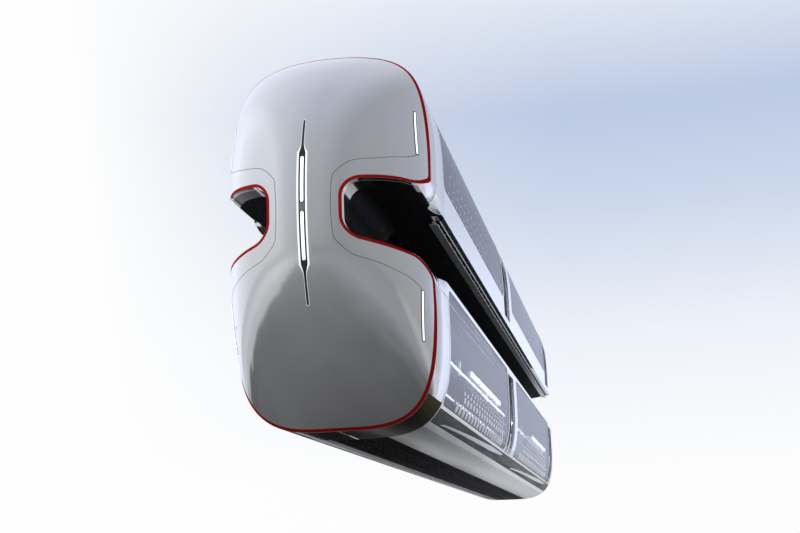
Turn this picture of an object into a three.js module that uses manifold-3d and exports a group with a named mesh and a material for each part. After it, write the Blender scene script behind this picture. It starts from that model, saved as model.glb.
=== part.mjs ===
// Leading car of a double-deck train that is held in the air at its waist.
// Two pods, one above the other, are joined by a narrow spine. The groove between the pods is
// open on both sides, and the car runs on the rails under the edges of its upper pod.
// Units are millimetres. +Z is up, +X is across the car, and the nose looks along -Y.
// The origin lies in the middle of the groove, halfway along the car.

import * as THREE from 'three';
import { mergeVertices } from 'three/addons/utils/BufferGeometryUtils.js';
import Module from 'manifold-3d';

const wasm = await Module();
wasm.setup();

// Driving dimensions
const HALF_WIDTH = 1600;
const CAR_LENGTH = 28000;
const WALL = 80;
const GAP = 0.3;

// The hourglass outline, in half-widths: pods are superellipses about a centre above or below the waist
const POD_CENTRE = 0.681;
const POD_REACH = 1.232;
const POD_POWER = 3.5;
const WAIST_HALF = 0.352;
const NOTCH_AT_AXIS = 0.187;
const NOTCH_SLOPE = 0.179;
const NOTCH_INNER_RADIUS = 0.157;
const NOTCH_OUTER_RADIUS = 0.139;

// The nose: an elliptic bow in plan that also leans back towards its top and its bottom
const BOW_DEPTH = 1.244;
const BOW_DEPTH_LOSS = 0.114;
const BOW_POWER = 2.034;
const LEAN_SQUARE = 0.178;
const LEAN_FOURTH = 0.042;

// Places along the car
const NOSE_Y = -CAR_LENGTH / 2;
const TAIL_Y = CAR_LENGTH / 2;
const BODY_START = NOSE_Y + 2.1 * HALF_WIDTH;
const MODULE_PITCH = 8.2 * HALF_WIDTH;
const PILLAR_1 = NOSE_Y + 9.2 * HALF_WIDTH;
const END_FRAME = 90;
const BODY_END = TAIL_Y - END_FRAME;

// Heights, measured from the middle of the groove
const POD_EDGE = 552;
const FLOOR_TOP_LOWER = -2610;
const CEILING_LOWER = -655;
const FLOOR_TOP_UPPER = 655;
const FLOOR_PLATE = 50;
const PAN_HALF = 500;
const PAN_BOTTOM = -2995;
const SEAM_X = 1095;
const WALL_FOOT_W = 0.775;
const WINDOW_FOOT_W = 0.746;

// Doors: single leaves that slide towards the nose, inside the wall
const DOOR_CLEAR = 1300;
const DOOR_LEAF = 40;
const DOOR_LAP = 50;
const DOOR_RUN_GAP = 12;
const DOOR_FROM_PILLAR = 400;
const GLASS = 24;
const GLASS_SINK = 4;

function paint(color, roughness, metalness) {
  return new THREE.MeshStandardMaterial({ color, roughness, metalness });
}

const MATERIALS = {
  pearl: paint(0xd9d9dc, 0.2, 0.1),
  red: paint(0xb01418, 0.3, 0.0),
  chrome: paint(0xe4e6ea, 0.08, 1.0),
  white: paint(0xe8e8e6, 0.2, 0.1),
  black: paint(0x0a0a0b, 0.5, 0.0),
  steel: paint(0x9a9da2, 0.3, 0.9),
  lamp: paint(0xffffff, 0.2, 0.0),
  glass: paint(0x9fb0c0, 0.05, 0.0),
  seat: paint(0x5a5f68, 0.7, 0.0),
  lining: paint(0xcfcfcf, 0.6, 0.0),
};

const train = new THREE.Group();

// Solids

function toManifold(geometry) {
  const bare = geometry.index ? geometry.clone() : geometry;
  bare.deleteAttribute('normal');
  bare.deleteAttribute('uv');
  const merged = mergeVertices(bare, 1e-4);
  const index = merged.index.array;
  const kept = [];
  for (let i = 0; i < index.length; i += 3) {
    const [a, b, c] = [index[i], index[i + 1], index[i + 2]];
    if (a !== b && b !== c && c !== a) kept.push(a, b, c);
  }
  return new wasm.Manifold(new wasm.Mesh({
    numProp: 3,
    vertProperties: new Float32Array(merged.attributes.position.array),
    triVerts: new Uint32Array(kept),
  }));
}

function toGeometry(manifold) {
  const mesh = manifold.getMesh();
  const geometry = new THREE.BufferGeometry();
  geometry.setAttribute('position', new THREE.BufferAttribute(new Float32Array(mesh.vertProperties), 3));
  geometry.setIndex(new THREE.BufferAttribute(new Uint32Array(mesh.triVerts), 1));
  geometry.computeVertexNormals();
  return geometry;
}

function addPiece(name, solid, material) {
  const mesh = new THREE.Mesh(toGeometry(solid), MATERIALS[material]);
  mesh.name = name;
  train.add(mesh);
}

// A prism along Y over a polygon of [x, z] points
function prismY(points, y0, y1) {
  const shape = new THREE.Shape(points.map(([x, z]) => new THREE.Vector2(x, z)));
  const geometry = new THREE.ExtrudeGeometry(shape, { depth: y1 - y0, bevelEnabled: false });
  geometry.rotateX(Math.PI / 2).translate(0, y1, 0);
  return toManifold(geometry);
}

// A prism along X over a shape drawn in the Y-Z plane
function prismX(shape, x0, x1) {
  const geometry = new THREE.ExtrudeGeometry(shape, { depth: x1 - x0, bevelEnabled: false, curveSegments: 4 });
  const turn = new THREE.Matrix4().makeBasis(
    new THREE.Vector3(0, 1, 0), new THREE.Vector3(0, 0, 1), new THREE.Vector3(1, 0, 0));
  geometry.applyMatrix4(turn).translate(x0, 0, 0);
  return toManifold(geometry);
}

function box(x0, x1, y0, y1, z0, z1) {
  return prismY([[x0, z0], [x1, z0], [x1, z1], [x0, z1]], y0, y1);
}

function roundedRect(y0, y1, z0, z1, radius) {
  const shape = new THREE.Shape();
  shape.moveTo(y0 + radius, z0);
  shape.lineTo(y1 - radius, z0);
  shape.absarc(y1 - radius, z0 + radius, radius, -Math.PI / 2, 0, false);
  shape.lineTo(y1, z1 - radius);
  shape.absarc(y1 - radius, z1 - radius, radius, 0, Math.PI / 2, false);
  shape.lineTo(y0 + radius, z1);
  shape.absarc(y0 + radius, z1 - radius, radius, Math.PI / 2, Math.PI, false);
  shape.lineTo(y0, z0 + radius);
  shape.absarc(y0 + radius, z0 + radius, radius, Math.PI, Math.PI * 1.5, false);
  return shape;
}

// One solid cut by another, with a gap left on the sides that face it
function clearOf(solid, neighbour, steps) {
  return steps.reduce((rest, step) => rest.subtract(neighbour.translate(step.map((s) => s * GAP))), solid);
}

// The closed tube through rings of points: each ring holds the same number of [x, y, z] corners
function ringSolid(rings, closed) {
  const around = rings[0].length;
  const positions = rings.flat().flat();
  const index = [];
  const last = closed ? rings.length : rings.length - 1;
  for (let i = 0; i < last; i += 1) {
    const here = i * around;
    const next = ((i + 1) % rings.length) * around;
    for (let k = 0; k < around; k += 1) {
      const k2 = (k + 1) % around;
      index.push(here + k, next + k, next + k2, here + k, next + k2, here + k2);
    }
  }
  if (!closed) {
    const end = (rings.length - 1) * around;
    for (let k = 1; k < around - 1; k += 1) {
      index.push(0, k, k + 1);
      index.push(end, end + k + 1, end + k);
    }
  }
  const geometry = new THREE.BufferGeometry();
  geometry.setAttribute('position', new THREE.BufferAttribute(new Float32Array(positions), 3));
  geometry.setIndex(index);
  const solid = toManifold(geometry);
  return solid.volume() < 0 ? toManifold(flipped(geometry)) : solid;
}

function flipped(geometry) {
  const copy = geometry.clone();
  const index = Array.from(copy.index.array);
  for (let i = 0; i < index.length; i += 3) {
    [index[i + 1], index[i + 2]] = [index[i + 2], index[i + 1]];
  }
  copy.setIndex(index);
  return copy;
}

// The pod's section, below the waist: w runs down the side from the pod's centre to its bottom

const CORNER_W = 0.5 ** (1 / POD_POWER);
const WALL_STEPS = 8;
const CORNER_STEPS = 3;
const SHELL_STEPS = 7;
const SEAM_ACROSS = SEAM_X / HALF_WIDTH;
const CROWN_GAP = 8;
const CROWN_ACROSS = (PAN_HALF + CROWN_GAP) / HALF_WIDTH;

function sidePoint(w, depth) {
  const across = (1 - w ** POD_POWER) ** (1 / POD_POWER);
  return sectionPoint(across, w, depth);
}

function sectionPoint(across, w, depth) {
  const nx = across ** (POD_POWER - 1);
  const nz = (w ** (POD_POWER - 1)) / POD_REACH;
  const length = Math.hypot(nx, nz);
  const x = HALF_WIDTH * across - depth * nx / length;
  const z = -HALF_WIDTH * (POD_CENTRE + POD_REACH * w) + depth * nz / length;
  return [x, z];
}

// Points down the side between two heights w, at a depth under the skin
function sideCurve(w0, w1, depth, steps) {
  return Array.from({ length: steps + 1 }, (_, i) => sidePoint(w0 + (w1 - w0) * i / steps, depth));
}

// Points from the corner of the section in to the centre line
function undersideCurve(across0, across1, depth, steps) {
  return Array.from({ length: steps + 1 }, (_, i) => {
    const across = across0 + (across1 - across0) * i / steps;
    return sectionPoint(across, (1 - across ** POD_POWER) ** (1 / POD_POWER), depth);
  });
}

// A band of the lower pod's upright wall from height top down to w, between two depths
function wallBand(top, wEnd, outer, inner) {
  const curve = (depth) => [[HALF_WIDTH - depth, top], ...sideCurve(0, wEnd, depth, WALL_STEPS)];
  return [...curve(outer), ...curve(inner).reverse()];
}

// Points down the whole wall from the pod's edge, round the corner and in to the seam of the side walls
function wallCurve(depth, acrossEnd) {
  return [
    [HALF_WIDTH - depth, -POD_EDGE],
    ...sideCurve(0, CORNER_W, depth, WALL_STEPS),
    ...undersideCurve(CORNER_W, acrossEnd, depth, CORNER_STEPS).slice(1),
  ];
}

// Points of the pod's whole half section, from its edge to the centre line
function podCurve(depth) {
  return [
    ...wallCurve(depth, SEAM_ACROSS),
    ...undersideCurve(SEAM_ACROSS, CROWN_ACROSS, depth, SHELL_STEPS).slice(1),
    ...undersideCurve(CROWN_ACROSS, 0, depth, CORNER_STEPS).slice(1),
  ];
}

// The parts are drawn for the right side of the lower deck and mirrored to the others
const DECKS = ['lower', 'upper'];
const SIDES = ['left', 'right'];
const onSide = { right: 1, left: -1 };
const onDeck = { lower: 1, upper: -1 };

function placed(points, side, deck) {
  return points.map(([x, z]) => [x * onSide[side], z * onDeck[deck]]);
}

// The hourglass outline from the waist out and down to the bottom, x as a share of z
function quarterOutline() {
  const inner = WAIST_HALF + NOTCH_INNER_RADIUS;
  const outer = 1 - NOTCH_OUTER_RADIUS;
  const notch = (x) => NOTCH_AT_AXIS + NOTCH_SLOPE * x;
  const foot = notch(WAIST_HALF) - NOTCH_INNER_RADIUS;
  const points = [[WAIST_HALF, 0], [WAIST_HALF, foot * 0.5]];
  const arcSteps = 4;
  for (let i = 0; i <= arcSteps; i += 1) {
    const a = (Math.PI / 2) * i / arcSteps;
    const x = WAIST_HALF + NOTCH_INNER_RADIUS * (1 - Math.cos(a));
    points.push([x, foot + NOTCH_INNER_RADIUS * Math.sin(a) + NOTCH_SLOPE * (x - WAIST_HALF)]);
  }
  points.push([(inner + outer) / 2, notch((inner + outer) / 2)]);
  for (let i = 0; i <= arcSteps; i += 1) {
    const a = (Math.PI / 2) * i / arcSteps;
    const x = outer + NOTCH_OUTER_RADIUS * Math.sin(a);
    points.push([x, notch(outer) + 1.2 * NOTCH_OUTER_RADIUS * (1 - Math.cos(a))]);
  }
  const sideSteps = 6;
  for (let i = 0; i <= sideSteps; i += 1) {
    const w = CORNER_W * i / sideSteps;
    points.push([(1 - w ** POD_POWER) ** (1 / POD_POWER), POD_CENTRE + POD_REACH * w]);
  }
  const footSteps = 5;
  for (let i = 1; i <= footSteps; i += 1) {
    const x = CORNER_W * (1 - i / footSteps);
    points.push([x, POD_CENTRE + POD_REACH * (1 - x ** POD_POWER) ** (1 / POD_POWER)]);
  }
  return points;
}

const QUARTER = quarterOutline();

// Half of the outline, from bottom centre up the right side to top centre
const HALF_OUTLINE = [
  ...QUARTER.slice(1).reverse().map(([x, z]) => [x, -z]),
  ...QUARTER,
];

// The nose's outer surface, in half-widths behind its foremost point
function bow(x, z) {
  const share = Math.min(Math.abs(x), 1) ** BOW_POWER;
  const depth = BOW_DEPTH - BOW_DEPTH_LOSS * z * z;
  return depth * (1 - (1 - share) ** (1 / BOW_POWER)) + LEAN_SQUARE * z * z + LEAN_FOURTH * z ** 4;
}

function noseNormal(x, z) {
  const step = 1e-4;
  const edge = 1 - 2 * step;
  const px = Math.max(-edge, Math.min(edge, x));
  const dx = (bow(px + step, z) - bow(px - step, z)) / (2 * step);
  const dz = (bow(px, z + step) - bow(px, z - step)) / (2 * step);
  return new THREE.Vector3(-dx, 1, -dz).normalize();
}

// A point of the nose's surface in millimetres, sunk by a depth along the inward normal
function nosePoint(x, z, depth) {
  const n = noseNormal(x, z);
  return [
    x * HALF_WIDTH + n.x * depth,
    NOSE_Y + bow(x, z) * HALF_WIDTH + n.y * depth,
    z * HALF_WIDTH + n.z * depth,
  ];
}

// Unit normals of the half outline, pointing out of the hourglass
function outlineNormals(points) {
  return points.map((_, i) => {
    const a = points[Math.max(i - 1, 0)];
    const b = points[Math.min(i + 1, points.length - 1)];
    const tx = i === 0 ? 1 : b[0] - a[0];
    const tz = i === 0 ? 0 : b[1] - a[1];
    const ends = i === points.length - 1;
    const length = ends ? 1 : Math.hypot(tx, tz);
    return ends ? [0, 1] : [tz / length, -tx / length];
  });
}

const HALF_NORMALS = outlineNormals(HALF_OUTLINE);

// The outline moved in until it lies a given distance from the rim, measured over the nose's surface.
// Where the nose runs steeply back, along its sides, only a share of that run counts, so the rim is wider.
const STEEP_SHARE = 0.2;

function insetOutline(distance) {
  return HALF_OUTLINE.map(([x, z], i) => {
    const [nx, nz] = HALF_NORMALS[i];
    let low = 0;
    let high = distance / HALF_WIDTH;
    const rim = bow(x, z);
    for (let k = 0; k < 40; k += 1) {
      const mid = (low + high) / 2;
      const rise = bow(x - nx * mid, z - nz * mid) - rim;
      if (Math.hypot(mid, rise * STEEP_SHARE) * HALF_WIDTH < distance) low = mid;
      else high = mid;
    }
    return [Math.max(x - nx * low, 0), z - nz * low];
  });
}

// Nose mask: a shell from the inset outline on one side to the other, row by row

const TRIM_WIDTH = 45;
const TRIM_DEPTH = 20;
const MASK_DEPTH = 80;
const FLANGE_GAP = 3;

function noseShell(inset, above, below) {
  const rim = insetOutline(inset);
  const columns = 16;
  const rows = rim.map(([xm, z]) => Array.from({ length: columns + 1 }, (_, k) => {
    const spread = Math.sin(((k / columns) * 2 - 1) * Math.PI / 2);
    return [xm * spread, z];
  }));
  const positions = [];
  for (const depth of [above, below]) {
    for (const row of rows) {
      for (const [x, z] of row) positions.push(...nosePoint(x, z, depth));
    }
  }
  const width = columns + 1;
  const sheet = rows.length * width;
  const index = [];
  const quad = (a, b, c, d) => index.push(a, b, c, a, c, d);
  for (let r = 0; r < rows.length - 1; r += 1) {
    for (let k = 0; k < columns; k += 1) {
      const a = r * width + k;
      quad(a, a + 1, a + 1 + width, a + width);
      quad(sheet + a, sheet + a + width, sheet + a + 1 + width, sheet + a + 1);
    }
    const left = r * width;
    const right = r * width + columns;
    quad(left, left + width, sheet + left + width, sheet + left);
    quad(right, sheet + right, sheet + right + width, right + width);
  }
  const geometry = new THREE.BufferGeometry();
  geometry.setAttribute('position', new THREE.BufferAttribute(new Float32Array(positions), 3));
  geometry.setIndex(index);
  const solid = toManifold(geometry);
  return solid.volume() < 0 ? toManifold(flipped(geometry)) : solid;
}

// Both halves of the outline as one closed loop of stations
function loopOf(values, mirror) {
  const back = values.slice(1, -1).reverse().map(mirror);
  return [...values, ...back];
}

const mirrorX = ([x, y, z]) => [-x, y, z];

// The rim strip of a given width over the surface, between two depths under it
function rimStrip(width, above, below) {
  const inset = insetOutline(width);
  const half = HALF_OUTLINE.map(([x, z], i) => [
    nosePoint(inset[i][0], inset[i][1], above),
    nosePoint(x, z, above),
    nosePoint(x, z, below),
    nosePoint(inset[i][0], inset[i][1], below),
  ]);
  return ringSolid(loopOf(half, (ring) => ring.map(mirrorX)), true);
}

// The collar is a tube of the hourglass's outline: its front flange carries the trim and the mask
function noseCollar() {
  const inset = insetOutline(TRIM_WIDTH);
  const half = HALF_OUTLINE.map(([x, z], i) => {
    const [nx, nz] = HALF_NORMALS[i];
    const outer = [x * HALF_WIDTH, z * HALF_WIDTH];
    const inner = [Math.max(outer[0] - nx * WALL, 0), outer[1] - nz * WALL];
    const [share, height] = [inner[0] / HALF_WIDTH, inner[1] / HALF_WIDTH];
    const rimY = NOSE_Y + bow(x, z) * HALF_WIDTH + TRIM_DEPTH * noseNormal(x, z).y + 2 * GAP;
    const behindMask = bow(share, height) * HALF_WIDTH + MASK_DEPTH / noseNormal(share, height).y;
    const innerY = Math.max(rimY, NOSE_Y + behindMask + FLANGE_GAP);
    return [
      [outer[0], rimY, outer[1]],
      [outer[0], BODY_START, outer[1]],
      [inner[0], BODY_START, inner[1]],
      [inner[0], innerY, inner[1]],
    ];
  });
  return ringSolid(loopOf(half, (ring) => ring.map(mirrorX)), true);
}

// A thin plate that lies on the nose mask: rows hold [centre x, z, half width], all in millimetres
function nosePlate(rows, carrier, steps) {
  const rings = rows.map(([x, z, half]) => {
    const [left, right] = [(x - half) / HALF_WIDTH, (x + half) / HALF_WIDTH];
    const height = z / HALF_WIDTH;
    return [
      nosePoint(left, height, -PLATE_LIFT),
      nosePoint(right, height, -PLATE_LIFT),
      nosePoint(right, height, PLATE_ROOT),
      nosePoint(left, height, PLATE_ROOT),
    ];
  });
  return clearOf(ringSolid(rings, false), carrier, steps);
}

const PLATE_LIFT = 12;
const PLATE_ROOT = 4;
const BAR_HALF_LENGTH = 1416;
const BAR_WIDE_LENGTH = 850;
const BAR_HALF_WIDTH = 78;
const BAR_TAIL_HALF_WIDTH = 22;
const LAMP = { near: 1085, far: 1820, xNear: 1496, xFar: 1458, half: 19 };

function lightBar(carrier) {
  const steps = 28;
  const rows = [];
  for (let i = 0; i <= steps; i += 1) {
    const z = BAR_HALF_LENGTH * (2 * i / steps - 1);
    const beyond = Math.max(0, Math.abs(z) - BAR_WIDE_LENGTH) / (BAR_HALF_LENGTH - BAR_WIDE_LENGTH);
    const ease = Math.max(0, 1 - beyond * 3.2) ** 2;
    rows.push([0, z, BAR_TAIL_HALF_WIDTH + (BAR_HALF_WIDTH - BAR_TAIL_HALF_WIDTH) * ease]);
  }
  return nosePlate(rows, carrier, [[0, -1, 0]]);
}

function cornerLamp(side, deck, carrier) {
  const steps = 6;
  const rows = Array.from({ length: steps + 1 }, (_, i) => {
    const share = i / steps;
    const x = LAMP.xNear + (LAMP.xFar - LAMP.xNear) * share;
    const z = LAMP.near + (LAMP.far - LAMP.near) * share;
    return [x * onSide[side], -z * onDeck[deck], LAMP.half];
  });
  return nosePlate(rows, carrier, [[0, -1, 0], [onSide[side], 0, 0]]);
}

const stripRoom = rimStrip(TRIM_WIDTH + GAP, -1, TRIM_DEPTH + GAP);
const mask = noseShell(TRIM_WIDTH + 2 * GAP, 0, MASK_DEPTH).subtract(stripRoom);
addPiece('nose_mask', mask, 'pearl');
const trim = rimStrip(TRIM_WIDTH, 0, TRIM_DEPTH);
addPiece('edge_trim', trim, 'red');
const backwards = [[0, 1, 0]];
addPiece('nose_collar', clearOf(clearOf(noseCollar(), mask, backwards), trim, backwards), 'chrome');
addPiece('light_bar', lightBar(mask), 'black');
for (const deck of DECKS) {
  for (const side of SIDES) {
    addPiece(`corner_lamp_${deck}_${side}`, cornerLamp(side, deck, mask), 'lamp');
  }
}

// Spine between the pods: a box girder, slimmer where it runs inside the collar's neck
const SPINE_HALF = WAIST_HALF * HALF_WIDTH;
const NOTCH_ROOT = (NOTCH_AT_AXIS + NOTCH_SLOPE * WAIST_HALF) * HALF_WIDTH;
const SPINE_HEIGHT = NOTCH_ROOT - GAP;
const NECK_HALF = SPINE_HALF - WALL - GAP;
const NECK_HEIGHT = 300;
const NECK_FRONT = NOSE_Y + 260;
const BODY_FRONT = BODY_START + GAP;

const spine = box(-SPINE_HALF, SPINE_HALF, BODY_FRONT, BODY_END - GAP, -SPINE_HEIGHT, SPINE_HEIGHT)
  .add(box(-NECK_HALF, NECK_HALF, NECK_FRONT, BODY_FRONT + 1, -NECK_HEIGHT, NECK_HEIGHT));
addPiece('waist_spine', spine, 'black');

// The plates that face each other across the groove: the lower pod's ceiling and the upper pod's floor
const PLATE_EDGE_X = HALF_WIDTH - WALL - GAP;
const notchAt = (x) => (NOTCH_AT_AXIS * HALF_WIDTH + NOTCH_SLOPE * x);

function groovePlate(level) {
  return [
    [-PLATE_EDGE_X, -level], [-PLATE_EDGE_X, -notchAt(PLATE_EDGE_X)], [-SPINE_HALF, -NOTCH_ROOT],
    [SPINE_HALF, -NOTCH_ROOT], [PLATE_EDGE_X, -notchAt(PLATE_EDGE_X)], [PLATE_EDGE_X, -level],
  ];
}

const lowerPlate = groovePlate(-CEILING_LOWER);
const upperPlate = groovePlate(FLOOR_TOP_UPPER).map(([x, z]) => [x, -z]);
addPiece('lower_ceiling', prismY(lowerPlate, BODY_FRONT, BODY_END - GAP), 'black');
addPiece('upper_floor', prismY(upperPlate, BODY_FRONT, BODY_END - GAP), 'black');

// Rails under the upper pod's edges, whose flat undersides are the running faces
const RAIL = { near: 1330, far: 1470, depth: 70, foot: 18 };

function railProfile(side) {
  const s = onSide[side];
  const top = (x) => notchAt(x) - GAP;
  return [
    [s * RAIL.near, top(RAIL.near) - RAIL.depth], [s * RAIL.far, top(RAIL.near) - RAIL.depth],
    [s * RAIL.far, top(RAIL.near) - RAIL.depth + RAIL.foot],
    [s * (RAIL.far - 45), top(RAIL.near) - RAIL.depth + RAIL.foot + 12],
    [s * (RAIL.far - 45), top(RAIL.far - 45)], [s * (RAIL.near + 45), top(RAIL.near + 45)],
    [s * (RAIL.near + 45), top(RAIL.near) - RAIL.depth + RAIL.foot + 12],
    [s * RAIL.near, top(RAIL.near) - RAIL.depth + RAIL.foot],
  ];
}

for (const side of SIDES) {
  addPiece(`carrying_rail_${side}`, prismY(railProfile(side), BODY_FRONT, BODY_END - GAP), 'steel');
}

// Roof of the upper pod, and the skirts, pan and floor of the lower pod

// The curved shell between the side wall and the middle panel, below on the skirts and above on the roof
function sideShell(side, deck) {
  const curve = (depth) => undersideCurve(SEAM_ACROSS, CROWN_ACROSS, depth, SHELL_STEPS);
  return prismY(placed([...curve(0), ...curve(WALL).reverse()], side, deck), BODY_FRONT, BODY_END - GAP);
}

for (const side of SIDES) addPiece(`skirt_${side}`, sideShell(side, 'lower'), 'chrome');
for (const side of SIDES) addPiece(`roof_side_${side}`, sideShell(side, 'upper'), 'white');

function roofCrown() {
  const edge = PAN_HALF / HALF_WIDTH;
  const over = (depth) => {
    const half = undersideCurve(edge, 0, depth, CORNER_STEPS);
    return [...half, ...half.slice(0, -1).reverse().map(([x, z]) => [-x, z])];
  };
  const profile = [...over(0), ...over(WALL).reverse()];
  return prismY(placed(profile, 'right', 'upper'), BODY_FRONT, BODY_END - GAP);
}

addPiece('roof_crown', roofCrown(), 'white');

// The pan closes the belly between the skirts and reaches up to the floor
const PAN_RIM = 100;
const PAN_DUCT_HALF = 860;
const FLOOR_UNDERSIDE = FLOOR_TOP_LOWER - FLOOR_PLATE;
const panProfile = [
  [-PAN_HALF, PAN_BOTTOM], [PAN_HALF, PAN_BOTTOM], [PAN_HALF, PAN_BOTTOM + PAN_RIM],
  [PAN_DUCT_HALF, PAN_BOTTOM + PAN_RIM], [PAN_DUCT_HALF, FLOOR_UNDERSIDE - GAP],
  [-PAN_DUCT_HALF, FLOOR_UNDERSIDE - GAP], [-PAN_DUCT_HALF, PAN_BOTTOM + PAN_RIM],
  [-PAN_HALF, PAN_BOTTOM + PAN_RIM],
];
addPiece('belly_pan', prismY(panProfile, BODY_FRONT, BODY_END - GAP), 'black');

// The lower pod's inner outline, from the wall's top round to the centre line
const interiorHalf = podCurve(WALL + GAP);
const interior = [...interiorHalf, ...interiorHalf.slice(0, -1).reverse().map(([x, z]) => [-x, z])];
const lowerFloor = prismY(interior, BODY_FRONT, BODY_END - GAP)
  .intersect(box(-HALF_WIDTH, HALF_WIDTH, BODY_START, BODY_END, FLOOR_UNDERSIDE, FLOOR_TOP_LOWER));
addPiece('lower_floor', lowerFloor, 'lining');

// Side walls: one frame for each side of each deck, cut for two windows and two doors

const JAMB = 110;
const FRONT_STILE = 60;
const PILLAR_STILE = 230;
const modules = [
  { name: 'front', start: BODY_START + FRONT_STILE, pillar: PILLAR_1 },
  { name: 'rear', start: PILLAR_1 + PILLAR_STILE, pillar: PILLAR_1 + MODULE_PITCH },
].map((bay) => {
  const doorEnd = bay.pillar - DOOR_FROM_PILLAR;
  const doorStart = doorEnd - DOOR_CLEAR;
  return { ...bay, doorStart, doorEnd, windowEnd: doorStart - JAMB };
});

// Heights are given for the lower deck, and mirrored for the upper one
const DOOR_FOOT = -2590;
const DOOR_HEAD = -710;
const DOOR_RADIUS = 90;
const WINDOW_RADIUS = 170;
const windowHead = { lower: -640, upper: -1120 };
const WINDOW_FOOT = -HALF_WIDTH * (POD_CENTRE + POD_REACH * WINDOW_FOOT_W);
const CUT_FROM = 900;
const CUT_TO = HALF_WIDTH + 100;
const SEAM_GAP = 2 * GAP;

function facing(solid, side, deck) {
  const scale = [onSide[side], 1, onDeck[deck]];
  return solid.scale(scale);
}

function windowCutter(bay, deck, inset) {
  const shape = roundedRect(bay.start + inset, bay.windowEnd - inset,
    WINDOW_FOOT + inset, windowHead[deck] - inset, WINDOW_RADIUS);
  return prismX(shape, CUT_FROM, CUT_TO);
}

function doorCutter(bay) {
  return prismX(roundedRect(bay.doorStart, bay.doorEnd, DOOR_FOOT, DOOR_HEAD, DOOR_RADIUS), CUT_FROM, CUT_TO);
}

function sideFrame(deck) {
  const foot = (SEAM_X + SEAM_GAP) / HALF_WIDTH;
  const band = [...wallCurve(0, foot), ...wallCurve(WALL, foot).reverse()];
  let frame = prismY(band, BODY_FRONT, BODY_END - GAP);
  for (const bay of modules) {
    frame = frame.subtract(windowCutter(bay, deck, 0)).subtract(doorCutter(bay));
  }
  return frame;
}

function windowPane(bay, deck) {
  const band = wallBand(-POD_EDGE - 40, WALL_FOOT_W, GLASS_SINK, GLASS_SINK + GLASS);
  return prismY(band, bay.start, bay.windowEnd).intersect(windowCutter(bay, deck, GAP));
}

// A door leaf hangs inside the wall on two pads that run against the plate above it. Its curved foot is
// trimmed upright so that it stays out of the aisle
const AISLE_HALF = 1241;
const LEAF_FOOT = FLOOR_TOP_LOWER + 6;
const LEAF_HEAD = CEILING_LOWER - 6;
const PAD = { length: 160, inset: 150, run: 0.5, outer: 4, inner: 36 };

function doorLeaf(bay) {
  const outer = WALL + DOOR_RUN_GAP;
  const inner = outer + DOOR_LEAF;
  const y0 = bay.doorStart - DOOR_LAP;
  const y1 = bay.doorEnd + DOOR_LAP;
  const band = prismY(wallBand(-POD_EDGE - 40, CORNER_W, outer, inner), y0, y1);
  let leaf = band.intersect(box(AISLE_HALF, CUT_TO, y0 - 1, y1 + 1, LEAF_FOOT, LEAF_HEAD));
  for (const start of [y0 + PAD.inset, y1 - PAD.inset - PAD.length]) {
    const face = HALF_WIDTH - outer;
    leaf = leaf.add(box(face - PAD.inner, face - PAD.outer, start, start + PAD.length,
      LEAF_HEAD - 20, CEILING_LOWER - PAD.run));
  }
  return leaf;
}

for (const deck of DECKS) {
  for (const side of SIDES) {
    addPiece(`side_frame_${deck}_${side}`, facing(sideFrame(deck), side, deck), 'white');
    for (const bay of modules) {
      addPiece(`pane_${deck}_${side}_${bay.name}`, facing(windowPane(bay, deck), side, deck), 'glass');
      addPiece(`door_${deck}_${side}_${bay.name}`, facing(doorLeaf(bay), side, deck), 'glass');
    }
  }
}

// Island benches, back to back along the middle of each deck. Grab poles stand in the seats at both ends,
// and one stands on the backrest halfway along.

const BENCH = { seatHalf: 430, seatTop: 440, seatThick: 110, plinthHalf: 230, backHalf: 55, backTop: 960 };
const BENCH_FROM_WINDOW = 700;
const POLE = { radius: 19, x: 400, inset: 60, sides: 8 };
const floorTop = { lower: FLOOR_TOP_LOWER, upper: FLOOR_TOP_UPPER };

function benchProfile(floor) {
  const b = BENCH;
  const seatFoot = b.seatTop - b.seatThick;
  const half = [
    [b.plinthHalf, GAP], [b.plinthHalf, seatFoot], [b.seatHalf, seatFoot], [b.seatHalf, b.seatTop],
    [b.backHalf, b.seatTop], [b.backHalf, b.backTop],
  ];
  const other = half.map(([x, z]) => [-x, z]).reverse();
  return [...half, ...other].map(([x, z]) => [x, z + floor]);
}

function pole(x, y, z0, z1) {
  const height = z1 - z0;
  const geometry = new THREE.CylinderGeometry(POLE.radius, POLE.radius, height, POLE.sides);
  geometry.rotateX(Math.PI / 2).translate(x, y, z0 + height / 2);
  return toManifold(geometry);
}

// The upper deck's poles end under the roof's curve, the lower deck's under the flat ceiling
function roofInside(x) {
  const share = x / HALF_WIDTH;
  return HALF_WIDTH * (POD_CENTRE + POD_REACH * (1 - share ** POD_POWER) ** (1 / POD_POWER)) - WALL;
}

const poleTop = { lower: CEILING_LOWER - GAP, upper: roofInside(POLE.x + POLE.radius) - 6 };

function bench(deck, bay) {
  const y0 = bay.start + BENCH_FROM_WINDOW;
  const y1 = bay.windowEnd - BENCH_FROM_WINDOW;
  let solid = prismY(benchProfile(floorTop[deck]), y0, y1);
  for (const y of [y0 + POLE.inset, y1 - POLE.inset]) {
    for (const x of [-POLE.x, POLE.x]) {
      solid = solid.add(pole(x, y, floorTop[deck] + GAP, poleTop[deck]));
    }
  }
  return solid.add(pole(0, (y0 + y1) / 2, floorTop[deck] + BENCH.seatTop, poleTop[deck]));
}

for (const deck of DECKS) {
  for (const bay of modules) {
    addPiece(`bench_${deck}_${bay.name}`, bench(deck, bay), 'seat');
  }
}

// The nose's inner walls close each pod behind the mask

const BULKHEAD = { thick: 60, fromBody: 20, head: 720 };

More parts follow.
